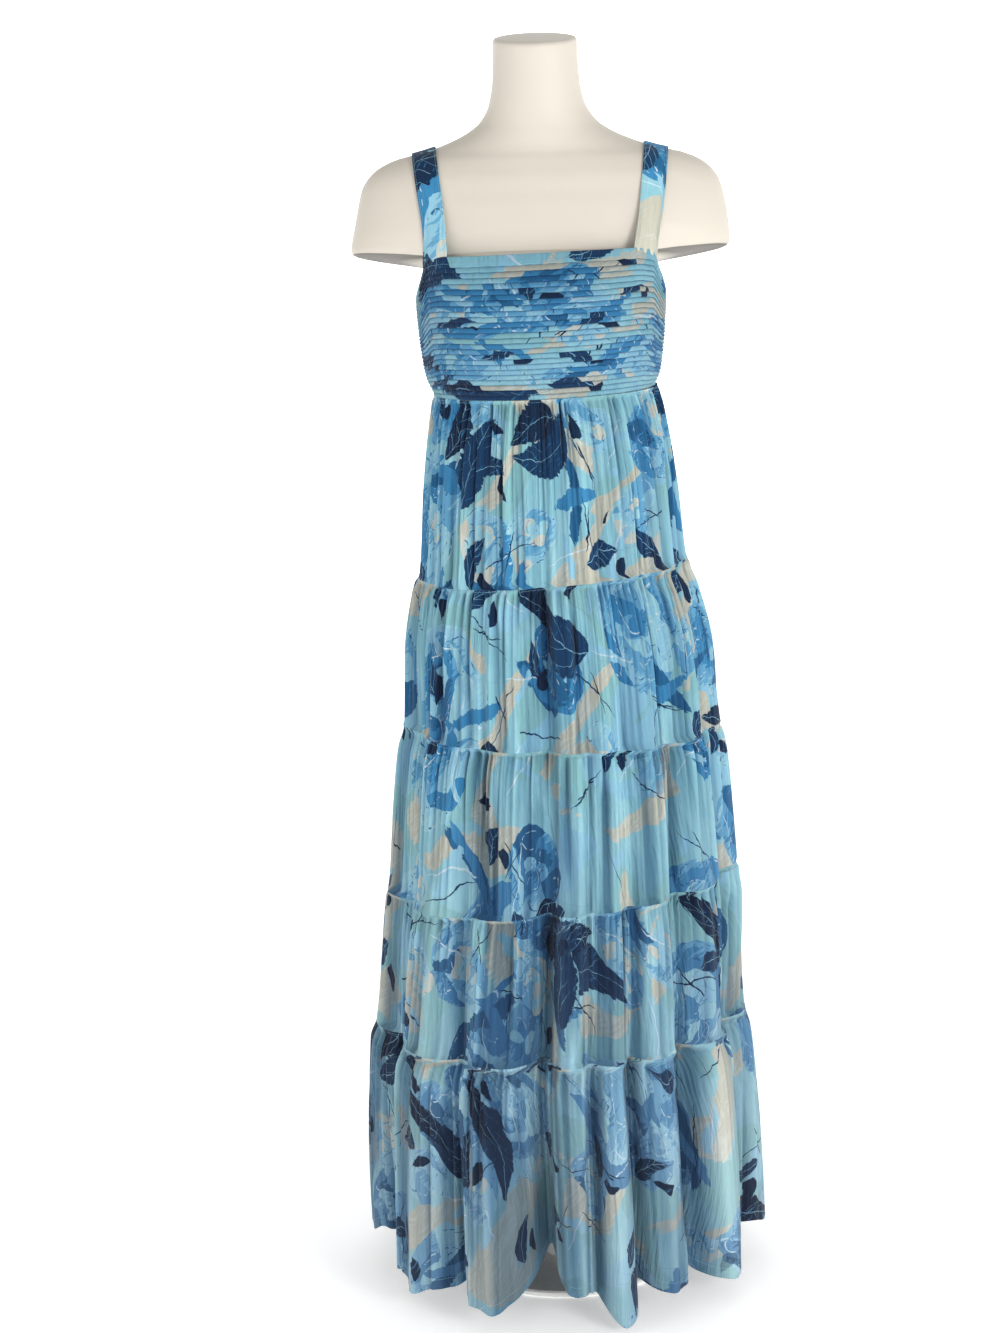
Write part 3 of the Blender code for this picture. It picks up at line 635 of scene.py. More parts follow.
def printed_cloth():
    """Chiffon with a painted floral: cream patches, blue flowers, brush strokes and dark veined leaves."""
    shade = Shade("printed_chiffon")
    flat = shade.node("ShaderNodeUVMap", {}, uv_map="flat").outputs[0]
    place = shade.warped(shade.warped(flat, 7.0, 0.050), 26.0, 0.014, 2.0)
    place = shade.warped(place, 150.0, 0.0022, 1.0)

    wash = shade.noise(shade.scaled(place, 1.0, 0.45), 24.0, 3.0)["Fac"]
    slanted = shade.turned(place, PRINT_SLANT)
    brush = shade.noise(shade.scaled(slanted, 1.0, 0.12), 240.0, 2.0)["Fac"]
    cross_brush = shade.noise(shade.scaled(slanted, 0.12, 1.0), 200.0, 2.0)["Fac"]
    found = shade.mix(shade.above(wash, 0.54, 0.30), AQUA, PALE_AQUA)
    found = shade.mix(shade.above(shade.noise(place, 9.0, 0.0)["Fac"], 0.58, 0.02), found, GREEN_AQUA)

    # Cream patches that flow across the cloth, with paler brush marks on them.
    flow = shade.noise(shade.scaled(slanted, 1.0, 0.55), 10.5, 1.0, 0.5)["Fac"]
    rough = shade.calc("MULTIPLY_ADD", brush, 0.05, flow)
    worn = shade.mix(shade.above(shade.calc("ADD", wash, brush), 1.08, 0.20), CREAM, PALE_CREAM)
    found = shade.mix(shade.above(rough, 0.600, 0.008), found, worn)
    found = shade.mix(shade.within(rough, 0.365, 0.008), found, PALE_SKY)

    # Large flowers in sky blue, smaller ones in a deeper blue, and pale ones.
    for scale, offset, radius, petals, rings, share, tones in (
        # cells a metre, offset, radius, petals round, rings of petals, share left out, tones
        (4.3, (2.9, 0.4), 0.096, 6, 3.0, 0.46, (BLUE, SKY, PALE_SKY, PALE_AQUA)),
        (5.6, (1.1, 3.3), 0.062, 5, 2.2, 0.54, (DEEP_BLUE, BLUE, SKY, PALE_SKY)),
        (8.0, (7.1, 5.3), 0.042, 5, 2.0, 0.62, (SKY, PALE_SKY, PALE_AQUA, PALE_CREAM)),
    ):
        own, chance = shade.cells(place, scale, offset)
        inside, tone, away = shade.bloom(own, chance[0], radius, petals, rings)
        present = shade.both(inside, shade.above(chance[1], share, 0.01))
        tone = shade.calc("MULTIPLY_ADD", brush, 0.5, tone)
        paints = shade.mix(shade.above(tone, 0.55, 0.03), tones[0], tones[1])
        paints = shade.mix(shade.above(tone, 0.86, 0.03), paints, tones[2])
        paints = shade.mix(shade.above(tone, 1.12, 0.03), paints, tones[3])
        from_line = shade.calc("ABSOLUTE", shade.calc("SUBTRACT", away, 0.42))
        lines = shade.both(shade.within(from_line, 0.020, 0.02),
                           shade.above(cross_brush, 0.50, 0.05))
        paints = shade.mix(lines, paints, shade.mix(shade.above(wash, 0.5, 0.02), DEEP_BLUE, WHITE))
        found = shade.mix(present, found, paints)

    # Brush strokes: broad dark ones, pale ones and thin sketched lines.
    for scale, offset, marks in (
        # cells a metre, offset, then for each mark:
        # half length, half width, raggedness, share left out, ink, chance that turns it
        (6.9, (5.0, 0.5), ((0.050, 0.0120, 1.3, 0.62, DEEP_BLUE, 0), (0.044, 0.0090, 1.5, 0.55, BLUE, 2))),
        (9.4, (9.0, 3.5), ((0.034, 0.0060, 1.7, 0.45, PALE_SKY, 0), (0.040, 0.0010, 0.8, 0.50, WHITE, 2))),
        (9.8, (2.0, 7.5), ((0.046, 0.0008, 0.7, 0.50, NAVY, 0), (0.026, 0.0009, 0.8, 0.60, DARK_NAVY, 2))),
    ):
        own, chance = shade.cells(place, scale, offset, 0.9)
        for long, wide, ragged, share, ink, which in marks:
            mark = shade.stroke(shade.spun(own, chance[which]), cross_brush, long, wide, ragged)
            found = shade.mix(shade.both(mark, shade.above(chance[1], share, 0.01)), found, ink)

    # Leaves: large ones in pairs, then small ones.
    for scale, offset, leaves in (
        # cells a metre, offset, then for each leaf:
        # half length, half width, bend, share left out, ink, chance that turns it, place beside
        (4.6, (0.7, 0.2), ((0.066, 0.030, 0.7, 0.58, NAVY, 0, (0.0, 0.0)),
                           (0.050, 0.021, -0.6, 0.58, DARK_NAVY, 0, (0.030, -0.040)))),
        (9.2, (3.1, 1.9), ((0.028, 0.0125, 0.6, 0.52, NAVY, 0, (0.0, 0.0)),
                           (0.016, 0.0080, -0.5, 0.44, DARK_NAVY, 2, (-0.024, 0.022)))),
    ):
        middle, chance = shade.cells(place, scale, offset, 0.9)
        for long, wide, bend, share, ink, which, beside in leaves:
            own = shade.spun(shade.vector("ADD", middle, (*beside, 0.0)), chance[which])
            inside, veins = shade.leaf(own, cross_brush, wash, long, wide, bend)
            present = shade.above(chance[1], share, 0.01)
            inked = shade.mix(shade.above(brush, 0.70, 0.04), ink, DEEP_BLUE)
            found = shade.mix(shade.both(inside, present), found, inked)
            if long > 0.02:
                found = shade.mix(shade.both(veins, present), found, PALE_SKY)

    # Painted shade: the lower tiers' colours are made a little weaker towards the floor, standing in for
    # the shaded inside of the skirt seen through the cloth.
    height = shade.split(shade.node("ShaderNodeTexCoord", {}).outputs["Object"])[2]
    strength = shade.calc("MULTIPLY_ADD", shade.within(height, 0.42, 0.45), -0.24, 1.0)
    found = shade.node("ShaderNodeHueSaturation", {"Saturation": strength, "Color": found}).outputs[0]
    # Painted shade: the cloth's colour is darkened where the attribute marks it deep in a gather, crease,
    # fold valley or tuck, or just under a seam.
    painted_shade = shade.node("ShaderNodeAttribute", {}, attribute_name="painted_shade").outputs["Fac"]
    shadow = shade.mix(painted_shade, paint(236, 240, 241), paint(122, 142, 160))
    found = shade.mix(1.0, found, shadow, "MULTIPLY")

    shade.feed(shade.shader.inputs["Base Color"], found)
    shade.shader.inputs["Roughness"].default_value = 0.78
    shade.shader.inputs["Sheen Weight"].default_value = 0.08
    shade.shader.inputs["Sheen Roughness"].default_value = 0.4
    shade.shader.inputs["Specular IOR Level"].default_value = 0.18
    crinkle = shade.noise(shade.scaled(flat, 1.0, 0.14), 420.0, 1.0)["Fac"]
    ripple = shade.noise(shade.scaled(flat, 1.0, 0.07), 150.0, 1.0)["Fac"]
    weave = shade.noise(flat, 1600.0, 0.0)["Fac"]
    raised = shade.calc("MULTIPLY_ADD", crinkle, 0.45, ripple)
    raised = shade.calc("MULTIPLY_ADD", weave, 0.16, raised)
    bump = shade.node("ShaderNodeBump", {"Height": raised, "Strength": 0.8, "Distance": 0.0034})
    shade.feed(shade.shader.inputs["Normal"], bump.outputs[0])
    return shade.material


def thread_finish():
    """Pale blue sewing thread, a little uneven along its length."""
    shade = Shade("sewing_thread")
    place = shade.node("ShaderNodeTexCoord", {}).outputs["Object"]
    twist = shade.grain(place, 700.0, 1.0)
    dyed = shade.mix(twist, paint(104, 154, 176), paint(134, 186, 203))
    shade.feed(shade.shader.inputs["Base Color"], dyed)
    shade.shader.inputs["Roughness"].default_value = 0.6
    return shade.material


def form_finish():
    """Cream moulded plastic with a soft gloss and a faint grain, with painted shade on the faces that look
    down.
    """
    shade = Shade("form_plastic")
    place = shade.node("ShaderNodeTexCoord", {}).outputs["Object"]
    cloud = shade.grain(place, 9.0, 1.0)
    grain = shade.grain(place, 900.0, 0.0)
    upward = shade.split(shade.node("ShaderNodeTexCoord", {}).outputs["Normal"])[2]
    plain = shade.mix(cloud, paint(198, 191, 179), paint(204, 197, 185))
    # Painted shade: every face that looks down is given a much darker colour.
    painted_underside_shade = shade.within(upward, -0.70, 0.20)
    shade.feed(shade.shader.inputs["Base Color"], shade.mix(painted_underside_shade, plain, paint(108, 103, 95)))
    shade.feed(shade.shader.inputs["Roughness"], shade.calc("MULTIPLY_ADD", cloud, 0.10, 0.46))
    shade.shader.inputs["Specular IOR Level"].default_value = 0.30
    bump = shade.node("ShaderNodeBump", {"Height": grain, "Strength": 0.08, "Distance": 0.0004})
    shade.feed(shade.shader.inputs["Normal"], bump.outputs[0])
    return shade.material


def metal_finish():
    """Steel with a pale satin lacquer, brushed round."""
    shade = Shade("stand_metal")
    place = shade.node("ShaderNodeTexCoord", {}).outputs["Object"]
    brushed = shade.vector("MULTIPLY", place, (60.0, 60.0, 900.0))
    grain = shade.grain(brushed, 1.0, 3.0)
    lacquer = shade.mix(grain, paint(232, 232, 230), paint(243, 243, 241))
    shade.feed(shade.shader.inputs["Base Color"], lacquer)
    shade.shader.inputs["Metallic"].default_value = 0.25
    shade.feed(shade.shader.inputs["Roughness"], shade.calc("MULTIPLY_ADD", grain, 0.16, 0.30))
    return shade.material


def floor_finish():
    """Pale paper, lit up more towards the backdrop."""
    shade = Shade("floor_paper")
    place = shade.node("ShaderNodeTexCoord", {}).outputs["Object"]
    cloud = shade.noise(place, 3.0, 0.0)["Fac"]
    paper = shade.mix(cloud, paint(250, 250, 250), paint(253, 253, 252))
    shade.feed(shade.shader.inputs["Base Color"], paper)
    shade.shader.inputs["Roughness"].default_value = 0.9
    shade.shader.inputs["Emission Color"].default_value = (1.0, 1.0, 1.0, 1.0)
    away = shade.above(shade.split(place)[1], 3.5, 7.0)
    glow = shade.calc("MULTIPLY_ADD", away, BACKDROP_GLOW - FLOOR_GLOW, FLOOR_GLOW)
    shade.feed(shade.shader.inputs["Emission Strength"], glow)
    return shade.material


def dress_piece(made, finish, slot_name, *nodes):
    made.data.materials.clear()
    made.data.materials.append(finish)
    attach(made, "root")
    if nodes:
        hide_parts(*nodes)


def grid_object(name, points, flat, painted_shade=None):
    """A surface through a grid of points (rows, columns, 3) that wraps round, with a UV map.

    Flat is the place of each point on the cloth, with one column more than the points have. The last
    argument is the painted shade of each point, from 0 to 1, set mostly by how deep it lies in a fold.
    """
    rows, columns = points.shape[:2]
    r, c = np.meshgrid(np.arange(rows - 1), np.arange(columns), indexing="ij")
    after = (c + 1) % columns
    quads = np.stack([r * columns + c, (r + 1) * columns + c, (r + 1) * columns + after,
                      r * columns + after], axis=-1).reshape(-1, 4)
    mesh = bpy.data.meshes.new(name)
    mesh.vertices.add(rows * columns)
    mesh.vertices.foreach_set("co", points.reshape(-1).astype(np.float32))
    mesh.loops.add(quads.size)
    mesh.loops.foreach_set("vertex_index", quads.reshape(-1).astype(np.int32))
    mesh.polygons.add(len(quads))
    mesh.polygons.foreach_set("loop_start", np.arange(0, quads.size, 4, dtype=np.int32))
    mesh.update(calc_edges=True)
    corners = np.stack([flat[r, c], flat[r + 1, c], flat[r + 1, c + 1], flat[r, c + 1]], axis=2)
    layer = mesh.uv_layers.new(name="flat")
    layer.data.foreach_set("uv", corners.reshape(-1).astype(np.float32))
    if painted_shade is not None:
        # This attribute holds painted shade, which darkens the cloth's colour.
        depth = mesh.attributes.new("painted_shade", "FLOAT", "POINT")
        depth.data.foreach_set("value", np.clip(painted_shade, 0, 1).reshape(-1).astype(np.float32))
    mesh.shade_smooth()
    made = bpy.data.objects.new(name, mesh)
    bpy.context.scene.collection.objects.link(made)
    return made


def stitched(name, lines, pitch, length, radius):
    """One mesh of short arched stitches along these lines of (points, outward normals)."""
    corners, faces = [], []
    ring = ((0.0, -1.0), (1.0, 0.0), (0.0, 1.0), (-1.0, 0.0))
    for points, normals in lines:
        steps = np.linalg.norm(np.diff(points, axis=0), axis=1)
        run = np.concatenate([[0.0], np.cumsum(steps)])
        starts = np.arange(pitch / 2, run[-1] - length, pitch)
        for start in starts:
            at = np.array([start, start + length / 2, start + length])
            middle = np.stack([np.interp(at, run, points[:, k]) for k in range(3)], axis=-1)
            out = np.stack([np.interp(at, run, normals[:, k]) for k in range(3)], axis=-1)
            along = middle[2] - middle[0]
            along /= np.linalg.norm(along)
            base = len(corners)
            for k, (lift, size) in enumerate(((-0.3, 0.5), (0.8, 1.0), (-0.3, 0.5))):
                up = out[k] / np.linalg.norm(out[k])
                side = np.cross(along, up)
                for across, rise in ring:
                    moved = up * (lift + 0.8 * rise * size) + side * across * size
                    corners.append(middle[k] + moved * radius)
            for k in (0, 4):
                for j in range(4):
                    near, far = base + k + j, base + k + (j + 1) % 4
                    faces.append((near, far, far + 4, near + 4))
            faces.append((base + 3, base + 2, base + 1, base))
            faces.append((base + 8, base + 9, base + 10, base + 11))
    mesh = bpy.data.meshes.new(name)
    mesh.from_pydata([tuple(corner) for corner in corners], [], faces)
    mesh.shade_smooth()
    made = bpy.data.objects.new(name, mesh)
    bpy.context.scene.collection.objects.link(made)
    dress_piece(made, THREAD, "printed_chiffon")
    return made


def round_line(points, row):
    """A row of a closed grid as a line that ends where it starts, with outward normals."""
    line = points[row]
    along = np.roll(line, -1, axis=0) - np.roll(line, 1, axis=0)
    normal = np.cross(points[row + 1] - points[row - 1], along)
    outward = np.sign((normal[:, :2] * line[:, :2]).sum(axis=1, keepdims=True))
    normal *= outward / np.linalg.norm(normal, axis=1, keepdims=True)
    return np.concatenate([line, line[:1]]), np.concatenate([normal, normal[:1]])


def flat_places(points, width, length, offset, lengths=None):
    """Where each point of a closed grid lies on its cloth before it was gathered, in metres."""
    wrapped = np.concatenate([points, points[:, :1]], axis=1)
    steps = np.linalg.norm(np.diff(wrapped, axis=1), axis=2)
    around = np.concatenate([np.zeros((len(points), 1)), np.cumsum(steps, axis=1)], axis=1)
    across = around / around[:, -1:] * width
    if lengths is None:
        lengths = np.linspace(0, length, len(points))
    down = np.repeat(lengths[:, None], wrapped.shape[1], axis=1)
    return np.stack([across + offset[0], offset[1] - down], axis=-1)


def gathers(rng, turn, share, count, depth, reach, low=0.45):
    """How far the gathers sink a tier: soft troughs of their own width, depth, length and slant."""
    sink = np.zeros((len(share), len(turn)))
    pitch = math.tau / count
    for k in range(count):
        centre = (k + rng.uniform(-0.48, 0.48)) * pitch
        width = pitch * rng.uniform(0.22, 0.46)
        deep = depth * rng.uniform(low, 1.25)
        ends = reach * rng.uniform(0.35, 1.6)
        slant = pitch * rng.uniform(-1.1, 1.1)
        away = (turn[None, :] - centre - slant * share[:, None] + math.pi) % math.tau - math.pi
        spread = width * (1 + 0.6 * share[:, None])
        left = rng.uniform(0.2, 0.8)
        fades = (left + (1 - left) * np.exp(-((share / ends) ** 2)))[:, None]
        sink += deep * fades * np.exp(-((away / spread) ** 2))
    return sink


def creases(turn, share, rows):
    """Listed creases: soft troughs, or ridges where the depth is below zero."""
    sink = np.zeros((len(share), len(turn)))
    for degrees, slant, top, bottom, width, depth in rows:
        middle = math.radians(degrees) + math.radians(slant) * (share[:, None] - 0.5)
        away = (turn[None, :] - middle + math.pi) % math.tau - math.pi
        ends = smooth_step((share - top) / 0.20) * smooth_step((bottom - share) / 0.20)
        sink += depth * ends[:, None] * np.exp(-((away / math.radians(width)) ** 2))
    return sink


def seam_sink(seam, turn):
    """How far the cloth is drawn in along a seam, the same for the tier above and the tier below."""
    rng = np.random.default_rng(SEED + round(seam * 1000))
    puckers = gathers(rng, turn, np.zeros(1), 96, 0.0012, 1.0)[0]
    return SEAM_GROOVE + puckers


def make_tier(number):
    top_seam, bottom_seam, row_count, count, fullness, fine, long = TIERS[number - 1]
    rng = np.random.default_rng(SEED + number)
    turn = np.arange(COLUMNS) * math.tau / COLUMNS
    share = np.linspace(0, 1, row_count) ** 1.15
    closing, valley, lift = fold_shares(turn)
    start = math.pi + turn
    top = seam_height(top_seam, start)
    bottom = seam_height(bottom_seam, start)
    if bottom_seam == HEM:
        waves = gathers(rng, turn, np.zeros(1), 52, HEM_WAVE, 1.0, 0.1)[0]
        bottom = bottom + lift + waves - 0.5 * HEM_WAVE
    height = top[None, :] + (bottom - top)[None, :] * share[:, None]
    depth = between(SKIRT_SECTIONS, height, 6)
    angle = start[None, :] + closing[None, :] * smooth_step(depth / 0.05)
    own = gathers(rng, turn, share, count, fine * 0.88, 0.30, 0.20)
    own += gathers(rng, turn, share, count // 4, long, 1.6, 0.1)
    own += gathers(rng, turn, share, count * 5 // 2, fine * 0.42, 0.90, 0.1)
    own += gathers(rng, turn, share, count * 5 // 4, fine * 0.8, 0.10, 0.2)
    own += creases(turn, share, CREASES[number])
    opens = smooth_step(share / 0.035)[:, None]
    closes = 1.0 if bottom_seam == HEM else smooth_step((1 - share) / 0.035)[:, None]
    sink = own * opens * closes + seam_sink(top_seam, turn)[None, :] * (1 - opens)
    sink += seam_sink(bottom_seam, turn)[None, :] * (1 - closes)
    sink += valley[None, :] * depth
    radius = section_radius(SKIRT_SECTIONS, height, angle) - sink + PUFF * opens * closes
    if bottom_seam == HEM:
        curl = np.radians([60, 120, 180, 240, 300])[:, None]
        rim = radius[-1:] - HEM_ROLL * (1 - np.cos(curl))
        radius = np.concatenate([radius, rim])
        height = np.concatenate([height, height[-1:] - HEM_ROLL * np.sin(curl)])
        angle = np.concatenate([angle, np.repeat(angle[-1:], len(curl), axis=0)])
    # Painted shade: darker deep in the gathers and creases, in the large folds' valleys, and just under
    # each upper seam.
    painted_shade = own / PAINTED_SHADE_DEPTH * opens + 0.22 * valley[None, :] * smooth_step(depth / 0.06)
    painted_shade += 0.40 * np.exp(-((share / 0.012) ** 2))[:, None] * (number > 1)
    if bottom_seam == HEM:
        painted_shade = np.concatenate([painted_shade, np.repeat(painted_shade[-1:], len(radius) - len(painted_shade), axis=0)])
    lean = between(SKIRT_SECTIONS, height, 5)
    points = np.stack([lean + radius * np.cos(angle), radius * np.sin(angle), height], axis=-1)
    width = np.linalg.norm(np.diff(points, axis=1), axis=2).sum(axis=1).mean() * fullness
    length = float(top_seam - bottom_seam) + 0.004
    extra = len(points) - row_count
    downs = np.append(share, 1 + 0.004 * np.arange(1, extra + 1)) * length
    printed_at = (TIER_PRINT_STEP[0] * number, TIER_PRINT_STEP[1] * number)
    flat = flat_places(points, width, length, printed_at, downs)
    made = grid_object(f"tier_{number}", points, flat, painted_shade=painted_shade)
    dress_piece(made, CLOTH, "printed_chiffon", f"tier_{number}_front", f"tier_{number}_back")
    lines = [round_line(points, 1)]
    if bottom_seam == HEM:
        lines.append(round_line(points, row_count - 3))
    sewn = stitched(f"stitches_tier_{number}", lines, STITCH_PITCH, STITCH_LENGTH, STITCH_RADIUS)
    return made


def bodice_top(turn, angle):
    """The bodice's top edge: level across the front, down to the underarms, and level across the back."""
    tilt = SEAM_TILTS[TOP_EDGE] * np.cos(angle)
    from_side = np.degrees(np.arcsin(np.clip(np.abs(np.sin(angle)), 0, 1)))
    table = np.array(ARMHOLE, float)
    front = np.interp(from_side, table[:, 0], table[:, 1])
    return np.where(np.sin(angle) < 0, front, BACK_EDGE) + tilt


def make_bodice():
    """Tucks that hang over each other up to a plain band, whose edge is turned in."""
    turn = np.arange(BODICE_COLUMNS) * math.tau / BODICE_COLUMNS
    angle = math.pi + turn
    low = seam_height(WAIST_SEAM, angle)
    top = bodice_top(turn, angle)
    rng = np.random.default_rng(SEED)
    shares, sinks, lengths, ripples, alongs = [0.0], [SEAM_GROOVE], [0.0], [0], [0.0]
    down = 0.0
    for k in range(BODICE_TUCKS):
        for along, sink in TUCK_PROFILE:
            shares.append((k + along) / TUCKS)
            sinks.append(sink * TUCK_DEPTH)
            lengths.append(down + along * TUCK_PITCH)
            ripples.append(k)
            alongs.append(along)
        down += TUCK_PITCH + TUCK_HIDDEN
    for along, sink in BAND_PROFILE:
        shares.append((BODICE_TUCKS + along * (TUCKS - BODICE_TUCKS)) / TUCKS)
        sinks.append(sink)
        lengths.append(down + along * TUCK_PITCH * (TUCKS - BODICE_TUCKS))
        ripples.append(BODICE_TUCKS)
        alongs.append(0.0 if along < 0.02 else 0.5)
    waves = []
    for k in range(BODICE_TUCKS + 1):
        wave = np.zeros(len(turn))
        for count in (9, 17, 31, 53):
            wave += rng.uniform(0.3, 1.0) * np.sin(count * turn + rng.uniform(0, math.tau))
        waves.append(wave * TUCK_WAVER)
    waver = np.array(waves)[ripples]
    share = np.array(shares)
    inside = smooth_step(share / 0.05) * smooth_step((1 - share) / 0.04)
    height = low[None, :] + (top - low)[None, :] * share[:, None] + waver * inside[:, None]
    radius = section_radius(BODICE_SECTIONS, height, angle[None, :]) - np.array(sinks)[:, None]
    for along, drop in ((0.0012, 0.0001), (0.0026, 0.0012), (0.0030, 0.0040)):
        radius = np.concatenate([radius, radius[len(share) - 1:len(share)] - along])
        height = np.concatenate([height, top[None, :] - drop])
        lengths.append(lengths[-1] + 0.002)
    points = np.stack([radius * np.cos(angle), radius * np.sin(angle), height], axis=-1)
    points, lengths = points[::-1], lengths[-1] - np.array(lengths)[::-1]
    around = np.linalg.norm(np.diff(points[len(points) // 2], axis=0), axis=1).sum()
    flat = flat_places(points, around, down, BODICE_PRINT, lengths)
    along = np.array(alongs)
    # Painted shade: the whole bodice a little darker, darkest at the fold of each tuck and under the lip of
    # the tuck above.
    tuck_shade = 0.52 + 0.66 * np.exp(-((along / 0.05) ** 2)) + 0.4 * smooth_step((along - 0.7) / 0.3)
    painted_shade = np.append(tuck_shade, np.zeros(3))[::-1]
    painted_shade = np.repeat(painted_shade[:, None], BODICE_COLUMNS, axis=1)
    made = grid_object("bodice", points, flat, painted_shade=painted_shade)
    dress_piece(made, CLOTH, "printed_chiffon", "bodice_front", "bodice_back")
    lines = [round_line(points, 6), round_line(points, len(points) - 4)]
    sewn = stitched("stitches_bodice", lines, STITCH_PITCH, STITCH_LENGTH, STITCH_RADIUS)
    return made


def shoulder_reach(x, lift):
    """How far the form reaches from the shoulder's eye at these x, in directions lifted from the front."""
    near, far = np.zeros_like(x), np.full_like(x, SHOULDER_SECTIONS[0][1])
    for _ in range(26):
        middle = (near + far) / 2
        y = SHOULDER_EYE_Y - middle * np.cos(lift)
        z = SHOULDER_EYE_Z + middle * np.sin(lift)
        height = z
        for _ in range(6):
            height = z - between(SHOULDER_SECTIONS, height, 5) * y
        reach = section_radius(SHOULDER_SECTIONS, height, np.arctan2(y, x))
        inside = (height < SHOULDER_SECTIONS[-1][0]) & (np.hypot(x, y) < reach)
        near, far = np.where(inside, middle, near), np.where(inside, far, middle)
    return near


def edge_place(side, x, front):
    """The place on the inside of the bodice's top edge that is this far out from the middle."""
    angle = np.radians(np.linspace(0, 90, 1801))
    angle = (angle if side > 0 else math.pi - angle) * (-1 if front else 1)
    turn = (angle - math.pi) % math.tau
    top = bodice_top(turn, angle)
    radius = section_radius(BODICE_SECTIONS, top, angle) - STRAP_UNDER
    i = np.argmin(np.abs(np.abs(radius * np.cos(angle)) - x))
    return x, float(radius[i] * np.sin(angle[i])), float(top[i])


def taut(points):
    """Only the points that a strap pulled tight over them would touch, seen from the side."""
    kept = []
    for p in points:
        while len(kept) > 1:
            (_, y0, z0), (_, y1, z1) = kept[-2], kept[-1]
            if (y1 - y0) * (p[2] - z0) - (z1 - z0) * (p[1] - y0) < 0:
                break
            kept.pop()
        kept.append(p)
    return kept


def leaned(points):
    points[..., 0] += between(TOP_LEANS, points[..., 2], 1)
    return points


def strap_rails(side):
    """Lines along the inside of a strap, from under the front edge, over the shoulder, to the back edge."""
    rails = []
    lifts = np.arange(-5.0, 200.0, 4.0)
    for offset in np.linspace(-STRAP_WIDTH / 2, STRAP_WIDTH / 2, STRAP_RAILS):
        front = edge_place(side, STRAP_FRONT_X + offset * STRAP_FRONT_END, True)
        back = edge_place(side, STRAP_BACK_X + offset, False)
        crossings = (
            (STRAP_LIFTS[0], front[0]),
            (90, STRAP_SHOULDER_X + offset * STRAP_TOP),
            (STRAP_LIFTS[1], back[0]),
        )
        x = between(crossings, lifts, 1)
        reach = shoulder_reach(x, np.radians(lifts)) + STRAP_CLEARANCE
        y = SHOULDER_EYE_Y - reach * np.cos(np.radians(lifts))
        z = SHOULDER_EYE_Z + reach * np.sin(np.radians(lifts))
        line = np.array(taut([front, *zip(x, y, z), back]))
        line = np.concatenate([line[:1] - (0, 0, STRAP_TAIL), line, line[-1:] - (0, 0, STRAP_TAIL)])
        steps = np.linalg.norm(np.diff(line, axis=0), axis=1)
        length = np.concatenate([[0.0], np.cumsum(steps)])
        shares = np.linspace(0, length[-1], STRAP_STATIONS)
        rails.append(np.stack([np.interp(shares, length, line[:, k]) for k in range(3)], axis=-1))
    rails = np.stack(rails, axis=1)
    for _ in range(6):
        rails[2:-2] = (rails[1:-3] + 2 * rails[2:-2] + rails[3:-1]) / 4
    return leaned(rails * (side, 1.0, 1.0))


def make_strap(name, side, pleats, offset):
    """A strap of doubled cloth with soft edges, pinched into pleats at its front end."""
    rails = strap_rails(side)
    run = np.gradient(rails, axis=0)
    across = np.gradient(rails, axis=1)
    normal = np.cross(across, run) * side
    normal /= np.linalg.norm(normal, axis=2, keepdims=True)
    place = np.linspace(0, 1, STRAP_RAILS)
    down = np.linspace(0, 1, STRAP_STATIONS)
    rng = np.random.default_rng(SEED + 40 + side)
    puff = np.zeros((STRAP_STATIONS, STRAP_RAILS))
    fold = 0.5 - 0.5 * np.cos(math.tau * pleats * place)
    puff += 0.0016 * np.exp(-((down / 0.17) ** 2))[:, None] * fold[None, :]
    for k in range(9):
        at, wide, tilt = rng.uniform(0.05, 0.95), rng.uniform(0.010, 0.022), rng.uniform(-0.06, 0.06)
        away = down[:, None] - at - tilt * (place[None, :] - 0.5)
        puff += rng.uniform(-0.0005, 0.0007) * np.exp(-((away / wide) ** 2))
    edge = 1 - (2 * np.abs(place - 0.5)) ** 8
    thick = STRAP_CLOTH * (0.55 + 0.45 * edge)[None, :] + puff * edge[None, :]
    rim = 0.0005 * np.exp(-(((1 - 2 * np.abs(place - 0.5)) / 0.10) ** 2))
    outer = rails + normal * (thick + rim[None, :])[:, :, None]
    inner = rails + normal * 0.0002
    ring = np.concatenate([outer, inner[:, ::-1]], axis=1)
    if side > 0:
        ring = ring[:, ::-1]
    length = float(np.linalg.norm(np.diff(rails[:, STRAP_RAILS // 2], axis=0), axis=1).sum())
    flat = flat_places(ring, STRAP_WIDTH * 2.2, length, offset)
    made = grid_object(name, ring, flat)
    dress_piece(made, CLOTH, "printed_chiffon", name.replace("strap", "strap_wearer"))
    lines = [(outer[3:-3, k], normal[3:-3, k]) for k in (2, STRAP_RAILS - 3)]
    sewn = stitched(f"stitches_{name}", lines, STITCH_PITCH, STITCH_LENGTH, STITCH_RADIUS)
    return made


def close_ends(made):
    """Fills the small holes that are left in the middle of a closed grid's two ends."""
    mesh = bmesh.new()
    mesh.from_mesh(made.data)
    bmesh.ops.holes_fill(mesh, edges=[edge for edge in mesh.edges if edge.is_boundary], sides=0)
    bmesh.ops.recalc_face_normals(mesh, faces=mesh.faces)
    mesh.to_mesh(made.data)
    mesh.free()
    made.data.shade_smooth()


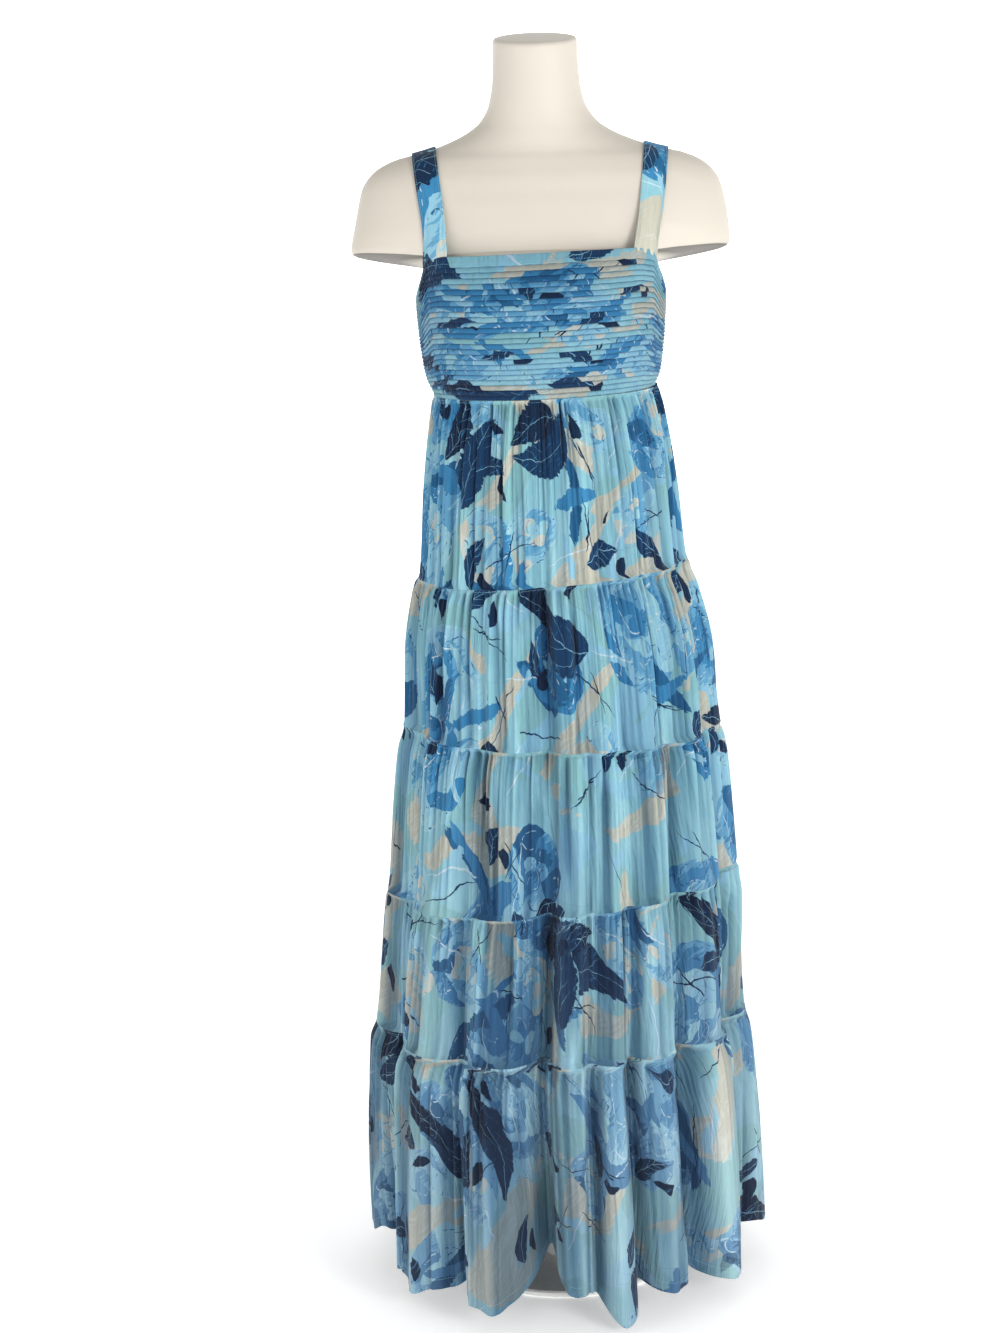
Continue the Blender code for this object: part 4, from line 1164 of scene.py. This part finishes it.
def make_form():
    turned = np.arange(FORM_COLUMNS) * math.tau / FORM_COLUMNS
    angle = turned - 0.30 * np.sin(2 * turned)
    rings = []
    underarm = FORM_SECTIONS[-1][1]
    widest = SHOULDER_SECTIONS[0][1]

    def ring(table, height, rise=0.0, inset=0.0, kept=1.0, dome=0.0):
        tip = float(between(table, height, 5))
        radius = section_radius(table, height, angle)
        beyond = np.maximum(0.0, np.abs(radius * np.cos(angle)) - underarm) / (widest - underarm)
        radius = radius * kept - inset * smooth_step(beyond * 3)
        x, y = radius * np.cos(angle), radius * np.sin(angle)
        return np.stack([x, y, height + tip * y + rise * beyond + dome], axis=-1)

    for kept, dome in ((0.12, -0.0040), (0.45, -0.0036), (0.75, -0.0026), (0.93, -0.0010)):
        rings.append(ring(FORM_SECTIONS, FORM_SECTIONS[0][0], kept=kept, dome=dome))
    for height in np.linspace(FORM_SECTIONS[0][0], FORM_SECTIONS[-1][0], 90):
        rings.append(ring(FORM_SECTIONS, height))
    low = SHOULDER_SECTIONS[0][0]
    for inset, lift in ((0.006, 0.0), (0.002, 0.0), (0.0006, 0.001)):
        rings.append(ring(SHOULDER_SECTIONS, low + lift, CAP_RISE, inset))
    for height in np.linspace(low + 0.003, SHOULDER_SECTIONS[-1][0], 110):
        rings.append(ring(SHOULDER_SECTIONS, height, CAP_RISE * max(0.0, 1 - (height - low) / 0.015)))
    top = SHOULDER_SECTIONS[-1][0]
    for kept, dome in ((0.97, 0.0004), (0.90, 0.0008), (0.75, 0.0011), (0.45, 0.0015), (0.12, 0.0017)):
        rings.append(ring(SHOULDER_SECTIONS, top, kept=kept, dome=dome))
    points = leaned(np.array(rings))
    width = np.linspace(0, 1, FORM_COLUMNS + 1)
    flat = np.stack(np.broadcast_arrays(width[None, :], np.linspace(0, 1, len(rings))[:, None]), axis=-1)
    made = grid_object("form", points[::-1], flat)
    close_ends(made)
    dress_piece(made, FORM_FINISH, "form_plastic", "dress_form")
    return made


def make_floor():
    """A pale round floor that sweeps up into a wall all round."""
    wall, bend, tall, columns = 9.0, 1.6, 6.0, 96
    profile = [(0.01, 0.0), (1.0, 0.0), (3.0, 0.0), (5.0, 0.0), (wall - bend, 0.0)]
    for i in range(1, 17):
        turn = math.pi / 2 * i / 16
        profile.append((wall - bend + bend * math.sin(turn), bend * (1 - math.cos(turn))))
    profile.append((wall, tall))
    turn = np.arange(columns) * math.tau / columns
    points = np.array([np.stack([r * np.cos(turn), r * np.sin(turn), np.full(columns, z)], axis=-1)
                       for r, z in profile])
    flat = np.zeros((len(profile), columns + 1, 2))
    made = grid_object("floor", points, flat)
    made.data.materials.append(floor_finish())
    return made


def make_camera():
    data = bpy.data.cameras.new("camera")
    data.sensor_width = SENSOR
    data.sensor_fit = "AUTO"
    data.lens = FOCAL_PIXELS / PICTURE_HEIGHT * SENSOR
    data.clip_end = 50.0
    made = bpy.data.objects.new("camera", data)
    bpy.context.scene.collection.objects.link(made)
    pitch, roll = math.radians(CAMERA_PITCH), math.radians(CAMERA_ROLL)
    data.shift_x = -(AXIS_PIXEL - PICTURE_WIDTH / 2) / PICTURE_HEIGHT
    turn = Matrix.Rotation(math.pi / 2 - pitch, 4, "X") @ Matrix.Rotation(roll, 4, "Z")
    made.matrix_world = Matrix.Translation((0.0, -CAMERA_AWAY, CAMERA_HEIGHT)) @ turn
    bpy.context.scene.camera = made
    return made


def make_light(name, size, power, place, target):
    data = bpy.data.lights.new(name, "AREA")
    data.shape = "RECTANGLE"
    data.size, data.size_y = size
    data.energy = power
    made = bpy.data.objects.new(name, data)
    made.location = place
    away = Vector(target) - Vector(place)
    made.rotation_euler = away.to_track_quat("-Z", "Y").to_euler()
    bpy.context.scene.collection.objects.link(made)
    return made


make_camera()
CLOTH = printed_cloth()
THREAD = thread_finish()
FORM_FINISH = form_finish()
METAL_FINISH = metal_finish()
for stand_node in ("stand_base", "stand_pole"):
    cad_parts[stand_node].data.materials.clear()
    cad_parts[stand_node].data.materials.append(METAL_FINISH)
for tier_number in range(1, len(TIERS) + 1):
    make_tier(tier_number)
make_bodice()
for strap_row in STRAPS:
    make_strap(*strap_row)
make_form()
make_floor()

world = bpy.data.worlds.new("studio")
world.use_nodes = True
world.node_tree.nodes["Background"].inputs["Color"].default_value = (1.0, 1.0, 1.0, 1.0)
world.node_tree.nodes["Background"].inputs["Strength"].default_value = WORLD_LIGHT
bpy.context.scene.world = world
for light_row in LIGHTS:
    make_light(*light_row)
bpy.context.scene.view_settings.view_transform = "Standard"
